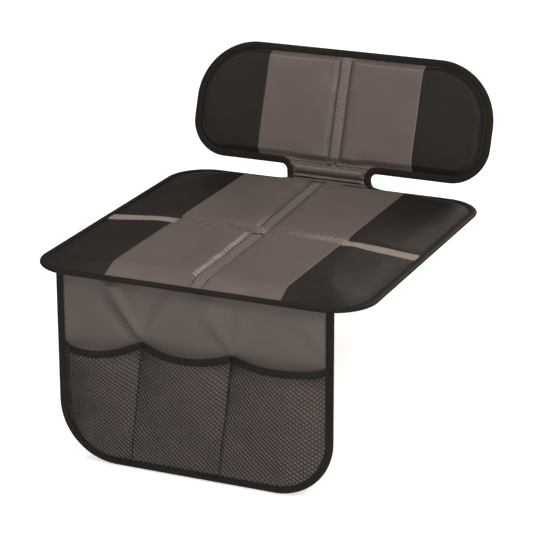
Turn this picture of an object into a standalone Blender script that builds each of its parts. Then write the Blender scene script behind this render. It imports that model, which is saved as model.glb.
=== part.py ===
"""Car seat protector mat with a back pad, a neck between them and a front flap with net pockets.

The mat is drawn flat, in its own coordinates: x to the right, s from the front edge to the top of
the back pad, and h up from the underside. fold_point() then folds it at the neck, so that the seat
pad lies flat and the back pad leans back. Metres, +Z up, +Y towards the back pad. The origin is at
the middle of the seat pad's underside.
"""
import math

import bmesh
import bpy
from mathutils import Matrix, Vector

# Seat pad
SEAT_WIDTH = 0.474
SEAT_DEPTH = 0.494
SEAT_CORNER_RADIUS = 0.060
SEAT_PAD_HEIGHT = 0.0121
SEAT_GREY_HALF = 0.124
CROSS_STRIP_Y = -0.015
CROSS_STRIP_WIDTH = 0.018
CENTRE_STRIP_WIDTH = 0.017
STRIP_LEAN_FRONT = 0.006
STRIP_LEAN_REAR = -0.015

# Back pad
BACK_WIDTH = 0.462
BACK_HEIGHT = 0.174
BACK_TOP_RADIUS = 0.090
BACK_BOTTOM_RADIUS = 0.055
BACK_PAD_HEIGHT = 0.0105
BACK_GREY_HALF = 0.120
BACK_SHIFT = -0.0045

# Neck between the two pads
NECK_WIDTH = 0.132
NECK_OFFSET = -0.0085
NECK_STRAIGHT = 0.0155
NECK_BEND_RADIUS = 0.008
FOLD_ANGLE = math.radians(70.5)
NECK_SEAT_SWEEP = 0.040
NECK_SEAT_RISE = 0.004
NECK_BACK_FILLET = 0.009
NECK_ROLL_HEIGHT = 0.0013
NECK_ROLLS = 3

# Layers at the edge of the pads, and the way the padding swells inside it
UNDERSIDE_THICKNESS = 0.0015
FOAM_EDGE_THICKNESS = 0.0012
COVER_THICKNESS = 0.0010
SHOULDER_WIDTH = 0.027
SHOULDER_POWER = 2.2
SHOULDER_RINGS = (0.18, 0.22, 0.26, 0.34)
CHANNEL_DEPTH = 0.0036
CHANNEL_SHOULDER = 0.012

# Edge binding, folded round the edge of the layers
BINDING_WIDTH = 0.0105
BINDING_THICKNESS = 0.0010
BINDING_WALL = 0.0012

# Front flap and its pockets
FLAP_WIDTH = 0.392
FLAP_DROP = 0.2635
FLAP_CORNER_RADIUS = 0.082
FLAP_THICKNESS = 0.0016
FLAP_SETBACK = 0.0142
NET_THICKNESS = 0.0008
NET_STRAND = 0.0045
NET_CELL_WIDTH = 0.0225
NET_CELL_HEIGHT = 0.0195
POCKET_DEPTH = 0.012
POCKET_SIDE_RUN = 0.020
DIVIDER_LEFT_X = -0.071
DIVIDER_RIGHT_X = 0.057
DIVIDER_SEAM = 0.006
MOUTH_DROP_LEFT = 0.096
MOUTH_DROP_RIGHT = 0.079
MOUTH_DROP_DIVIDER = 0.081
MOUTH_SAG = 0.012
MOUTH_LINE = 0.088
NET_FOLD_SPACING = 0.030
BAND_HEIGHT = 0.008
BAND_THICKNESS = 0.0010

# Clearance between touching pieces, the steps of the curves and the limits of the mesh tools
GAP = 0.0003
MERGE_DISTANCE = 1e-6
SMOOTH_ANGLE = math.radians(40)
CORNER_STEPS = 6
NECK_STEPS = 4
BEND_STEPS = 6

# Places that follow from the sizes above
SEAT_REAR = SEAT_DEPTH / 2
SEAT_FRONT = -SEAT_DEPTH / 2
BEND_START = SEAT_REAR + NECK_SEAT_RISE
BEND_LENGTH = NECK_BEND_RADIUS * FOLD_ANGLE
BACK_BASE = BEND_START + BEND_LENGTH + NECK_STRAIGHT
BACK_TOP = BACK_BASE + BACK_HEIGHT
EDGE_INSET = BINDING_WALL + GAP
INSIDE_BINDING = BINDING_WIDTH + 4 * GAP
FOAM_BASE = UNDERSIDE_THICKNESS + GAP
RIM_HEIGHT = FOAM_BASE + FOAM_EDGE_THICKNESS + GAP
RIM_TOP = RIM_HEIGHT + COVER_THICKNESS
FLAP_FRONT_Y = SEAT_FRONT + FLAP_SETBACK

FINISHES = {
    "grey_cover": ((0.108, 0.087, 0.078), 0.42),
    "black_cover": ((0.030, 0.026, 0.023), 0.55),
    "strip": ((0.170, 0.140, 0.122), 0.50),
    "binding": ((0.014, 0.012, 0.010), 0.75),
    "underside": ((0.020, 0.020, 0.021), 0.85),
    "foam": ((0.55, 0.54, 0.50), 0.95),
    "net": ((0.024, 0.021, 0.019), 0.80),
    "flap": ((0.115, 0.098, 0.091), 0.60),
}


def clear_scene():
    """Remove what the file opened with."""
    for item in list(bpy.data.objects):
        bpy.data.objects.remove(item, do_unlink=True)


def new_collection(name):
    """Make a collection in the scene."""
    collection = bpy.data.collections.new(name)
    bpy.context.scene.collection.children.link(collection)
    return collection


def make_material(name, finish):
    """Make a Principled material from a finish's colour and roughness."""
    colour, roughness = FINISHES[finish]
    material = bpy.data.materials.new(name)
    material.use_nodes = True
    shader = material.node_tree.nodes["Principled BSDF"]
    shader.inputs["Base Color"].default_value = (*colour, 1.0)
    shader.inputs["Roughness"].default_value = roughness
    shader.inputs["Metallic"].default_value = 0.0
    material.diffuse_color = (*colour, 1.0)
    return material


def add_object(name, data, finish):
    """Put new mesh or curve data in the mat's collection, with its own material."""
    item = bpy.data.objects.new(name, data)
    MAT.objects.link(item)
    data.materials.append(make_material(name, finish))
    return item


def smooth_step(value):
    """Ease from 0 to 1 as value goes from 0 to 1."""
    value = min(max(value, 0.0), 1.0)
    return value * value * (3.0 - 2.0 * value)


def fold_point(x, s, h):
    """Place a point of the flat mat on the folded mat, whose back pad lies a little to one side."""
    past = s - BEND_START
    if past <= 0.0:
        return Vector((x, s, h))
    angle = min(past / NECK_BEND_RADIUS, FOLD_ANGLE)
    straight = max(past - BEND_LENGTH, 0.0)
    along = Vector((0.0, math.cos(angle), math.sin(angle)))
    normal = Vector((0.0, -math.sin(angle), math.cos(angle)))
    shift = BACK_SHIFT * min(past / (BACK_BASE - BEND_START), 1.0)
    centre = Vector((x + shift, BEND_START, NECK_BEND_RADIUS))
    return centre - normal * (NECK_BEND_RADIUS - h) + along * straight


def corner_arc(centre_x, centre_y, radius, start, end):
    """List points along a corner's arc, from one angle to another in degrees."""
    points = []
    for step in range(CORNER_STEPS + 1):
        angle = math.radians(start + (end - start) * step / CORNER_STEPS)
        points.append((centre_x + radius * math.cos(angle), centre_y + radius * math.sin(angle)))
    return points


def round_outline(half, low, high, low_radius, high_radius, inset):
    """Outline of a shape with round corners about x = 0, drawn inset from its edge."""
    right = corner_arc(half - low_radius, low + low_radius, low_radius - inset, -90, 0)
    right += corner_arc(half - high_radius, high - high_radius, high_radius - inset, 0, 90)
    return right + [(-x, y) for x, y in reversed(right)]


def edge_distance(x, s, half, front, rear, front_radius, rear_radius):
    """Distance from a point inside a pad to its outline."""
    radius = front_radius if s < (front + rear) / 2 else rear_radius
    end_gap = s - front if s < (front + rear) / 2 else rear - s
    side_gap = half - abs(x)
    if side_gap < radius and end_gap < radius:
        return radius - math.hypot(radius - side_gap, radius - end_gap)
    return min(side_gap, end_gap)


def swell(distance, full_height):
    """Height of the padding's face at a distance from the pad's outline."""
    run = min(max((distance - INSIDE_BINDING) / SHOULDER_WIDTH, 0.0), 1.0)
    return RIM_HEIGHT + (full_height - RIM_HEIGHT) * (1.0 - (1.0 - run) ** SHOULDER_POWER)


def channel(offset, half_strip):
    """Share of the channel's depth at an offset from a sewn strip's middle."""
    return 1.0 - smooth_step((abs(offset) - half_strip) / CHANNEL_SHOULDER)


def seat_height(x, s):
    """Height of the seat foam's face, with its two sewn channels."""
    radius = SEAT_CORNER_RADIUS
    distance = edge_distance(x, s, SEAT_WIDTH / 2, SEAT_FRONT, SEAT_REAR, radius, radius)
    face = swell(distance, SEAT_PAD_HEIGHT)
    dip = max(channel(x, CENTRE_STRIP_WIDTH / 2), channel(s - CROSS_STRIP_Y, CROSS_STRIP_WIDTH / 2))
    share = (face - RIM_HEIGHT) / (SEAT_PAD_HEIGHT - RIM_HEIGHT)
    return face - CHANNEL_DEPTH * dip * share


def back_height(x, s):
    """Height of the back foam's face, with its sewn channel."""
    distance = edge_distance(x, s, BACK_WIDTH / 2, BACK_BASE, BACK_TOP, BACK_BOTTOM_RADIUS, BACK_TOP_RADIUS)
    face = swell(distance, BACK_PAD_HEIGHT)
    share = (face - RIM_HEIGHT) / (BACK_PAD_HEIGHT - RIM_HEIGHT)
    return face - CHANNEL_DEPTH * channel(x, CENTRE_STRIP_WIDTH / 2) * share


def seat_lean(x, s):
    """Sideways lean of the seat's cloth: its centre strip bends at the crossing, its sides stay."""
    ahead = max((CROSS_STRIP_Y - s) / (CROSS_STRIP_Y - SEAT_FRONT), 0.0)
    behind = max((s - CROSS_STRIP_Y) / (SEAT_REAR - CROSS_STRIP_Y), 0.0)
    strip = CENTRE_STRIP_WIDTH / 2 + CHANNEL_SHOULDER
    fade = 1.0 - smooth_step((abs(x) - strip) / (SEAT_GREY_HALF - strip))
    return (STRIP_LEAN_FRONT * ahead + STRIP_LEAN_REAR * behind) * fade


def back_lean(x, s):
    """Sideways lean of the back pad's cloth: it lies straight."""
    return 0.0


def grid_of_points(points):
    """Make a bmesh grid whose corners are the given rows of points."""
    mesh = bmesh.new()
    rows = len(points)
    columns = len(points[0])
    made = bmesh.ops.create_grid(mesh, x_segments=columns - 1, y_segments=rows - 1, size=1.0)
    for corner in made["verts"]:
        column = round((corner.co.x + 1.0) / 2.0 * (columns - 1))
        row = round((corner.co.y + 1.0) / 2.0 * (rows - 1))
        corner.co = points[row][column]
    return mesh


def cut_planes(across, along):
    """List the (point, normal) planes that cut lines across x and along y."""
    planes = [((x, 0.0, 0.0), (1.0, 0.0, 0.0)) for x in across]
    return planes + [((0.0, y, 0.0), (0.0, 1.0, 0.0)) for y in along]


def ringed_plan(outline, rings, across, along):
    """Make a flat plan with rings inside its outline and straight lines across and along it."""
    mesh = bmesh.new()
    middle = mesh.faces.new([mesh.verts.new((x, y, 0.0)) for x, y in outline])
    mesh.normal_update()
    for width in rings:
        bmesh.ops.inset_region(mesh, faces=[middle], thickness=width, use_boundary=True, use_even_offset=True)
    for point, normal in cut_planes(across, along):
        geometry = list(mesh.verts) + list(mesh.edges) + list(mesh.faces)
        bmesh.ops.bisect_plane(mesh, geom=geometry, dist=MERGE_DISTANCE, plane_co=point, plane_no=normal)
    return mesh


def keep_faces(mesh, wanted):
    """Delete the faces of a plan whose centre isn't wanted."""
    spare = []
    for face in mesh.faces:
        centre = face.calc_center_median()
        if not wanted(centre.x, centre.y):
            spare.append(face)
    bmesh.ops.delete(mesh, geom=spare, context="FACES")
    return mesh


def raise_plan(mesh, place):
    """Move each corner of a flat plan to its place on the mat, once its faces are triangles."""
    bmesh.ops.triangulate(mesh, faces=list(mesh.faces))
    for corner in mesh.verts:
        corner.co = place(corner.co.x, corner.co.y)
    return mesh


def finish_mesh(name, mesh, finish):
    """Turn a bmesh into an object of the mat."""
    data = bpy.data.meshes.new(name)
    mesh.to_mesh(data)
    mesh.free()
    data.shade_smooth()
    data.set_sharp_from_angle(angle=SMOOTH_ANGLE)
    return add_object(name, data, finish)


def thicken(item, thickness):
    """Give an open surface its thickness, outwards from the face it was drawn on."""
    solid = item.modifiers.new("Thickness", "SOLIDIFY")
    solid.thickness = thickness
    solid.offset = 1.0
    return item


def base_plane(s):
    """Point and normal of the plane of a pad's foam base, for the pad that holds s."""
    foot = fold_point(0.0, s, FOAM_BASE)
    return foot, (foot - fold_point(0.0, s, 0.0)).normalized()


def foam_pad(name, mesh, s):
    """Make a pad's foam from its swollen face: the face is extruded down to a flat base."""
    foot, normal = base_plane(s)
    grown = bmesh.ops.extrude_face_region(mesh, geom=list(mesh.faces), use_keep_orig=True)
    for corner in [part for part in grown["geom"] if isinstance(part, bmesh.types.BMVert)]:
        corner.co -= normal * (corner.co - foot).dot(normal)
    base_faces = [part for part in grown["geom"] if isinstance(part, bmesh.types.BMFace)]
    bmesh.ops.dissolve_faces(mesh, faces=base_faces, use_verts=False)
    bmesh.ops.recalc_face_normals(mesh, faces=list(mesh.faces))
    return finish_mesh(name, mesh, "foam")


def flat_sheet(name, outline, thickness, finish):
    """Make a flat sheet from its outline, with its lower face on the object's own plane z = 0."""
    curve = bpy.data.curves.new(name, "CURVE")
    curve.dimensions = "2D"
    curve.fill_mode = "BOTH"
    curve.extrude = thickness / 2
    spline = curve.splines.new("POLY")
    spline.points.add(len(outline) - 1)
    for point, (x, y) in zip(spline.points, outline):
        point.co = (x, y, 0.0, 1.0)
    spline.use_cyclic_u = True
    return add_object(name, curve, finish)


def channel_section(slot_low, slot_high):
    """Section of a tape folded round an edge, as (inward, height) corners."""
    low = slot_low - GAP
    high = slot_high + GAP
    return [
        (0.0, low - BINDING_THICKNESS),
        (BINDING_WIDTH, low - BINDING_THICKNESS),
        (BINDING_WIDTH, low),
        (BINDING_WALL, low),
        (BINDING_WALL, high),
        (BINDING_WIDTH, high),
        (BINDING_WIDTH, high + BINDING_THICKNESS),
        (0.0, high + BINDING_THICKNESS),
    ]


def folded_tape(name, path, section, place, closed, finish):
    """Sweep a tape's section along a path of (point, inward direction) pairs."""
    points = []
    for (x, y), (inward_x, inward_y) in path:
        ring = [place(x + inward_x * inward, y + inward_y * inward, height) for inward, height in section]
        points.append(ring + ring[:1])
    if closed:
        points.append(points[0])
    mesh = grid_of_points(points)
    bmesh.ops.remove_doubles(mesh, verts=list(mesh.verts), dist=MERGE_DISTANCE)
    if not closed:
        open_edges = [edge for edge in mesh.edges if edge.is_boundary]
        bmesh.ops.holes_fill(mesh, edges=open_edges, sides=len(section))
    bmesh.ops.recalc_face_normals(mesh, faces=list(mesh.faces))
    return finish_mesh(name, mesh, finish)


def arc_path(centre, radii, start, end, steps, turn):
    """Path points on an arc with inward directions: turn is -1 inside the arc and 1 outside it."""
    path = []
    for step in range(steps + 1):
        angle = math.radians(start + (end - start) * step / steps)
        across, along = math.cos(angle), math.sin(angle)
        length = math.hypot(across * radii[1], along * radii[0])
        direction = (turn * across * radii[1] / length, turn * along * radii[0] / length)
        path.append(((centre[0] + radii[0] * across, centre[1] + radii[1] * along), direction))
    return path


def mirrored(path):
    """Mirror a path to the left side, so that it runs on from the right one."""
    return [((-x, y), (-inward_x, inward_y)) for (x, y), (inward_x, inward_y) in reversed(path)]


def neck_path(half):
    """Right side of the neck's edge: a long sweep out of the seat and a fillet into the back."""
    sweep = (half + NECK_SEAT_SWEEP, SEAT_REAR + NECK_SEAT_RISE)
    fillet = (half + NECK_BACK_FILLET, BACK_BASE - NECK_BACK_FILLET)
    path = arc_path(sweep, (NECK_SEAT_SWEEP, NECK_SEAT_RISE), -90, -180, NECK_STEPS, 1)
    for step in range(1, BEND_STEPS + 1):
        path.append(((half, BEND_START + BEND_LENGTH * step / BEND_STEPS), (-1.0, 0.0)))
    return path + arc_path(fillet, (NECK_BACK_FILLET, NECK_BACK_FILLET), 180, 90, NECK_STEPS, 1)


def edge_side(neck_half):
    """Right side of the mat's edge, with its neck's edge at neck_half."""
    seat_x = SEAT_WIDTH / 2 - SEAT_CORNER_RADIUS
    seat_corner = (SEAT_CORNER_RADIUS, SEAT_CORNER_RADIUS)
    right = arc_path((seat_x, SEAT_FRONT + SEAT_CORNER_RADIUS), seat_corner, -90, 0, CORNER_STEPS, -1)
    right += arc_path((seat_x, SEAT_REAR - SEAT_CORNER_RADIUS), seat_corner, 0, 90, CORNER_STEPS, -1)
    right += neck_path(neck_half)
    low = (BACK_WIDTH / 2 - BACK_BOTTOM_RADIUS, BACK_BASE + BACK_BOTTOM_RADIUS)
    high = (BACK_WIDTH / 2 - BACK_TOP_RADIUS, BACK_TOP - BACK_TOP_RADIUS)
    right += arc_path(low, (BACK_BOTTOM_RADIUS, BACK_BOTTOM_RADIUS), -90, 0, CORNER_STEPS, -1)
    right += arc_path(high, (BACK_TOP_RADIUS, BACK_TOP_RADIUS), 0, 90, CORNER_STEPS, -1)
    return right


def edge_path():
    """Path of the edge binding round the seat pad, the neck and the back pad."""
    return edge_side(NECK_WIDTH / 2 + NECK_OFFSET) + mirrored(edge_side(NECK_WIDTH / 2 - NECK_OFFSET))


class Pad:
    """A padded panel: its outline, its sewn channels and the pieces of its cover."""

    def __init__(self, half, low, high, low_radius, high_radius, grey_half, height, lean, cross):
        self.outline = round_outline(half, low, high, low_radius, high_radius, EDGE_INSET)
        self.grey_half = grey_half
        self.height = height
        self.lean = lean
        self.cross = cross
        self.middle = (low + high) / 2

    def plan(self, seams):
        """Flat plan of the pad, with lines at its seams and along its channels' shoulders."""
        rim = BINDING_WIDTH + 2 * GAP - EDGE_INSET
        rings = [rim] + [SHOULDER_WIDTH * share for share in SHOULDER_RINGS]
        strip = CENTRE_STRIP_WIDTH / 2
        marks = [strip, strip + CHANNEL_SHOULDER / 2, strip + CHANNEL_SHOULDER, self.grey_half]
        lines = []
        if self.cross:
            half = CROSS_STRIP_WIDTH / 2
            lines = [half, half + CHANNEL_SHOULDER / 2, half + CHANNEL_SHOULDER]
        if seams:
            marks += [strip + GAP, self.grey_half - GAP]
            lines += [half + GAP] if self.cross else []
        across = [sign * mark for mark in marks for sign in (-1, 1)]
        along = [CROSS_STRIP_Y + sign * line for line in lines for sign in (-1, 1)]
        return ringed_plan(self.outline, rings, across, along)

    def place(self, x, s, depth):
        """Place a point of the pad's cloth on the mat, at a depth below the cover's inner face."""
        return fold_point(x + self.lean(x, s), s, self.height(x, s) - depth)

    def foam(self, name):
        """Make the pad's foam."""
        mesh = raise_plan(self.plan(False), lambda x, s: self.place(x, s, GAP))
        return foam_pad(name, mesh, self.middle)

    def cover(self, name, finish, wanted):
        """Make one piece of the pad's cover: wanted says which part of the plan it takes."""
        mesh = keep_faces(self.plan(True), wanted)
        raise_plan(mesh, lambda x, s: self.place(x, s, 0.0))
        return thicken(finish_mesh(name, mesh, finish), COVER_THICKNESS)

    def covers(self, prefix, suffix, wanted_row):
        """Make the strip and the four panels of one run of the pad's cover."""
        strip = CENTRE_STRIP_WIDTH / 2
        seam = self.grey_half - GAP
        self.cover(
            f"{prefix}_centre_strip{suffix}", "grey_cover",
            lambda x, s: wanted_row(s) and abs(x) < strip,
        )
        for side, sign in (("left", -1), ("right", 1)):
            def grey(x, s, sign=sign):
                return wanted_row(s) and strip + GAP < sign * x < seam

            def black(x, s, sign=sign):
                return wanted_row(s) and sign * x > self.grey_half

            self.cover(f"{prefix}_grey_panel{suffix}_{side}", "grey_cover", grey)
            self.cover(f"{prefix}_black_panel{suffix}_{side}", "black_cover", black)


def build_seat():
    """Build the seat pad: underside, foam, eight cover panels and the sewn strips."""
    pad = Pad(
        SEAT_WIDTH / 2, SEAT_FRONT, SEAT_REAR, SEAT_CORNER_RADIUS, SEAT_CORNER_RADIUS,
        SEAT_GREY_HALF, seat_height, seat_lean, True,
    )
    underside = flat_sheet("seat_underside", pad.outline, UNDERSIDE_THICKNESS, "underside")
    underside.location = (0.0, 0.0, UNDERSIDE_THICKNESS / 2)
    pad.foam("seat_foam")
    half_cross = CROSS_STRIP_WIDTH / 2
    pad.covers("seat", "_front", lambda s: s < CROSS_STRIP_Y - half_cross - GAP)
    pad.covers("seat", "_rear", lambda s: s > CROSS_STRIP_Y + half_cross + GAP)
    pad.cover("seat_cross_strip", "strip", lambda x, s: abs(s - CROSS_STRIP_Y) < half_cross)


def build_back():
    """Build the back pad: rear cover, foam, four cover panels and the sewn strip."""
    pad = Pad(
        BACK_WIDTH / 2, BACK_BASE, BACK_TOP, BACK_BOTTOM_RADIUS, BACK_TOP_RADIUS,
        BACK_GREY_HALF, back_height, back_lean, False,
    )
    outline = [(x, s - BACK_BASE) for x, s in pad.outline]
    rear_cover = flat_sheet("back_rear_cover", outline, UNDERSIDE_THICKNESS, "underside")
    rear_cover.location = fold_point(0.0, BACK_BASE, UNDERSIDE_THICKNESS / 2)
    rear_cover.rotation_euler = (FOLD_ANGLE, 0.0, 0.0)
    pad.foam("back_foam")
    pad.covers("back", "", lambda s: True)


def neck_rows():
    """Rows of the neck's fabric as (s, half width), inside the binding, between the two covers."""
    start = SEAT_REAR - EDGE_INSET + GAP
    end = BACK_BASE + EDGE_INSET - GAP
    rows = []
    for (x, s), (inward_x, inward_s) in neck_path(NECK_WIDTH / 2):
        edge = (s + inward_s * EDGE_INSET, x + inward_x * EDGE_INSET)
        if edge[0] < start + GAP:
            rows = [(start, edge[1])]
        elif edge[0] < end - GAP:
            rows.append(edge)
        else:
            return rows + [(end, edge[1])]
    return rows


def neck_roll(x, s):
    """Height of the soft rolls that lie across the neck."""
    start = SEAT_REAR - EDGE_INSET + GAP
    end = BACK_BASE + EDGE_INSET - GAP
    wave = math.sin(math.pi * NECK_ROLLS * (s - start) / (end - start))
    inside = NECK_WIDTH / 2 - BINDING_WIDTH - 2 * GAP - abs(x)
    return NECK_ROLL_HEIGHT * wave ** 2 * smooth_step(inside / (BINDING_WIDTH / 2))


def build_neck():
    """Build the neck's two layers between the pads."""
    inside = NECK_WIDTH / 2 - BINDING_WIDTH - 2 * GAP
    marks = [inside / 3, inside - BINDING_WIDTH / 2, inside - BINDING_WIDTH / 4, inside]

    def columns(half):
        right = marks + [half]
        return [-x for x in reversed(right)] + right

    layers = (
        ("neck_backing", 0.0, RIM_HEIGHT - GAP, "underside", lambda x, s: 0.0),
        ("neck_panel", RIM_HEIGHT, COVER_THICKNESS, "grey_cover", neck_roll),
    )
    for name, height, thickness, finish, roll in layers:
        points = []
        for s, half in neck_rows():
            points.append([fold_point(x + NECK_OFFSET, s, height + roll(x, s)) for x in columns(half)])
        thicken(finish_mesh(name, grid_of_points(points), finish), thickness)


def flap_point(x, drop, forward):
    """Place a point of the flap: drop below the underside, forward of the flap's front face."""
    return Vector((x, FLAP_FRONT_Y - forward, -drop))


def flap_distance(x, drop):
    """Distance from a point of the flap to its sides and lower edge."""
    side_gap = FLAP_WIDTH / 2 - abs(x)
    end_gap = FLAP_DROP - drop
    radius = FLAP_CORNER_RADIUS
    if side_gap < radius and end_gap < radius:
        return radius - math.hypot(radius - side_gap, radius - end_gap)
    return min(side_gap, end_gap)


def mouth_drop(x):
    """Drop of the pockets' mouth: it hangs in a curve between the sides and the dividers."""
    edge = FLAP_WIDTH / 2 - EDGE_INSET
    posts = (
        (-edge, MOUTH_DROP_LEFT),
        (DIVIDER_LEFT_X, MOUTH_DROP_DIVIDER),
        (DIVIDER_RIGHT_X, MOUTH_DROP_DIVIDER),
        (edge, MOUTH_DROP_RIGHT),
    )
    for (start, start_drop), (end, end_drop) in zip(posts, posts[1:]):
        if x <= end + GAP:
            share = min(max((x - start) / (end - start), 0.0), 1.0)
            return start_drop + (end_drop - start_drop) * share + 4.0 * MOUTH_SAG * share * (1.0 - share)
    return MOUTH_DROP_RIGHT


def net_forward(x, drop):
    """How far the net stands forward of the flap: nothing at its seams, most in each pocket."""
    from_edge = flap_distance(x, drop) - INSIDE_BINDING
    from_seam = min(abs(x - DIVIDER_LEFT_X), abs(x - DIVIDER_RIGHT_X)) - DIVIDER_SEAM / 2
    run = min(from_edge, from_seam) / POCKET_SIDE_RUN
    return GAP + POCKET_DEPTH * min(max(run, 0.0), 1.0)


def split_plan(mesh, faces, across):
    """Cut lines across the chosen faces of a flat plan."""
    for point, normal in cut_planes(across, []):
        chosen = [face for face in mesh.faces if faces(face.calc_center_median())]
        edges = {edge for face in chosen for edge in face.edges}
        corners = {corner for face in chosen for corner in face.verts}
        geometry = list(corners) + list(edges) + chosen
        bmesh.ops.bisect_plane(mesh, geom=geometry, dist=MERGE_DISTANCE, plane_co=point, plane_no=normal)


def net_plan():
    """Flat plan of the net below a straight mouth: x across, and the drop as negative y."""
    radius = FLAP_CORNER_RADIUS
    outline = round_outline(FLAP_WIDTH / 2, -FLAP_DROP, 0.0, radius, radius, EDGE_INSET)
    rings = [INSIDE_BINDING - EDGE_INSET, POCKET_SIDE_RUN]
    lines = []
    for divider in (DIVIDER_LEFT_X, DIVIDER_RIGHT_X):
        for reach in (DIVIDER_SEAM / 2, DIVIDER_SEAM / 2 + POCKET_SIDE_RUN):
            lines += [divider - reach, divider + reach]
    mesh = ringed_plan(outline, rings, lines, [-MOUTH_LINE, -MOUTH_LINE - BAND_HEIGHT])
    keep_faces(mesh, lambda x, y: y < -MOUTH_LINE)
    folds = int(FLAP_WIDTH / 2 / NET_FOLD_SPACING)
    places = [NET_FOLD_SPACING * fold for fold in range(-folds, folds + 1)]
    split_plan(mesh, lambda centre: centre.y > -MOUTH_LINE - BAND_HEIGHT, places)
    return mesh


def hang_net(mesh, lift):
    """Hang the flat net: its mouth follows the band's curve, and its pockets stand forward."""
    bmesh.ops.triangulate(mesh, faces=list(mesh.faces))
    still = FLAP_DROP - FLAP_CORNER_RADIUS
    for corner in mesh.verts:
        x, y, height = corner.co
        share = smooth_step((still + y) / (still - MOUTH_LINE - BAND_HEIGHT))
        drop = -y + (mouth_drop(x) - MOUTH_LINE) * share
        corner.co = flap_point(x, drop, net_forward(x, drop) + lift + height)
    return mesh


def cell_is_clear(x, y):
    """Say whether a net cell centred at a place of the flat net stays clear of seams and mouth."""
    reach_x = NET_CELL_WIDTH / 2 + NET_STRAND / 2
    reach_y = NET_CELL_HEIGHT / 2 + NET_STRAND / 2
    edges = [flap_distance(x - reach_x, -y), flap_distance(x + reach_x, -y), flap_distance(x, reach_y - y)]
    seam = min(abs(x - DIVIDER_LEFT_X), abs(x - DIVIDER_RIGHT_X)) - DIVIDER_SEAM / 2
    below_band = -MOUTH_LINE - BAND_HEIGHT - y
    return min(edges) > INSIDE_BINDING and seam > reach_x and below_band > reach_y


def pocket_spans():
    """List the left and right limits of each pocket, between its seams."""
    edge = FLAP_WIDTH / 2 - INSIDE_BINDING
    seam = DIVIDER_SEAM / 2
    return [
        (-edge, DIVIDER_LEFT_X - seam),
        (DIVIDER_LEFT_X + seam, DIVIDER_RIGHT_X - seam),
        (DIVIDER_RIGHT_X + seam, edge),
    ]


def cell_places():
    """List the centres of the net's cells: offset rows, centred on each pocket."""
    step_x = NET_CELL_WIDTH + NET_STRAND
    step_y = (NET_CELL_HEIGHT + NET_STRAND) / 2
    places = []
    for low, high in pocket_spans():
        columns = int((high - low) / 2 / step_x) + 1
        for row in range(int(FLAP_DROP / step_y)):
            for column in range(-columns, columns + 1):
                place = ((low + high) / 2 + (column + (row % 2) / 2) * step_x, row * step_y - FLAP_DROP)
                if low < place[0] < high and cell_is_clear(*place):
                    places.append(place)
    return places


def net_cutters():
    """Make the diamond prisms that open the cells of the flat net."""
    mesh = bmesh.new()
    stretch = Matrix.Diagonal((NET_CELL_WIDTH / 2, NET_CELL_HEIGHT / 2, 1.0, 1.0))
    for x, y in cell_places():
        bmesh.ops.create_cone(
            mesh, cap_ends=True, segments=4, radius1=1.0, radius2=1.0, depth=4 * NET_THICKNESS,
            matrix=Matrix.Translation((x, y, NET_THICKNESS / 2)) @ stretch,
        )
    data = bpy.data.meshes.new("net_cells")
    mesh.to_mesh(data)
    mesh.free()
    cutter = bpy.data.objects.new("net_cells", data)
    CUTTERS.objects.link(cutter)
    cutter.hide_render = True
    cutter.display_type = "WIRE"
    return cutter


def build_net():
    """Build the pocket net: one sheet with open cells, sewn down at its edges and dividers."""
    net = thicken(finish_mesh("pocket_net", net_plan(), "net"), NET_THICKNESS)
    cells = net.modifiers.new("Cells", "BOOLEAN")
    cells.operation = "DIFFERENCE"
    cells.solver = "EXACT"
    cells.object = net_cutters()
    evaluated = net.evaluated_get(bpy.context.evaluated_depsgraph_get())
    flat = bpy.data.meshes.new_from_object(evaluated)
    net.modifiers.clear()
    mesh = bmesh.new()
    mesh.from_mesh(flat)
    bpy.data.meshes.remove(flat)
    bmesh.ops.remove_doubles(mesh, verts=list(mesh.verts), dist=MERGE_DISTANCE)
    hang_net(mesh, 0.0)
    mesh.to_mesh(net.data)
    mesh.free()


def build_band():
    """Build the elastic band along the pockets' mouth."""
    def wanted(x, y):
        return y > -MOUTH_LINE - BAND_HEIGHT and FLAP_WIDTH / 2 - abs(x) > INSIDE_BINDING

    mesh = hang_net(keep_faces(net_plan(), wanted), NET_THICKNESS + 2 * GAP)
    return thicken(finish_mesh("pocket_top_band", mesh, "binding"), BAND_THICKNESS)


def build_flap():
    """Build the flap: its panel, the pocket net and band, and the binding round three sides."""
    centre = (FLAP_WIDTH / 2 - FLAP_CORNER_RADIUS, -FLAP_DROP + FLAP_CORNER_RADIUS)
    radius = FLAP_CORNER_RADIUS - EDGE_INSET
    half_outline = corner_arc(centre[0], centre[1], radius, -90, 0) + [(FLAP_WIDTH / 2 - EDGE_INSET, -GAP)]
    outline = half_outline + [(-x, z) for x, z in reversed(half_outline)]
    panel = flat_sheet("flap_panel", outline, FLAP_THICKNESS, "flap")
    panel.location = (0.0, FLAP_FRONT_Y + FLAP_THICKNESS / 2, 0.0)
    panel.rotation_euler = (math.pi / 2, 0.0, 0.0)
    build_net()
    build_band()
    side = FLAP_WIDTH / 2
    right = arc_path(centre, (FLAP_CORNER_RADIUS, FLAP_CORNER_RADIUS), -90, 0, CORNER_STEPS, -1)
    right.append(((side, -BINDING_THICKNESS - 2 * GAP), (-1.0, 0.0)))
    section = channel_section(-FLAP_THICKNESS, NET_THICKNESS + GAP)

    def place(x, z, forward):
        return flap_point(x, -z, forward)

    folded_tape("flap_binding", mirrored(right) + right, section, place, False, "binding")


MAT = None
CUTTERS = None


def main():
    """Build the whole mat."""
    global MAT, CUTTERS
    clear_scene()
    MAT = new_collection("car_seat_protector_mat")
    CUTTERS = new_collection("cutters")
    build_seat()
    build_neck()
    build_back()
    folded_tape("edge_binding", edge_path(), channel_section(0.0, RIM_TOP), fold_point, True, "binding")
    build_flap()


main()
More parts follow.
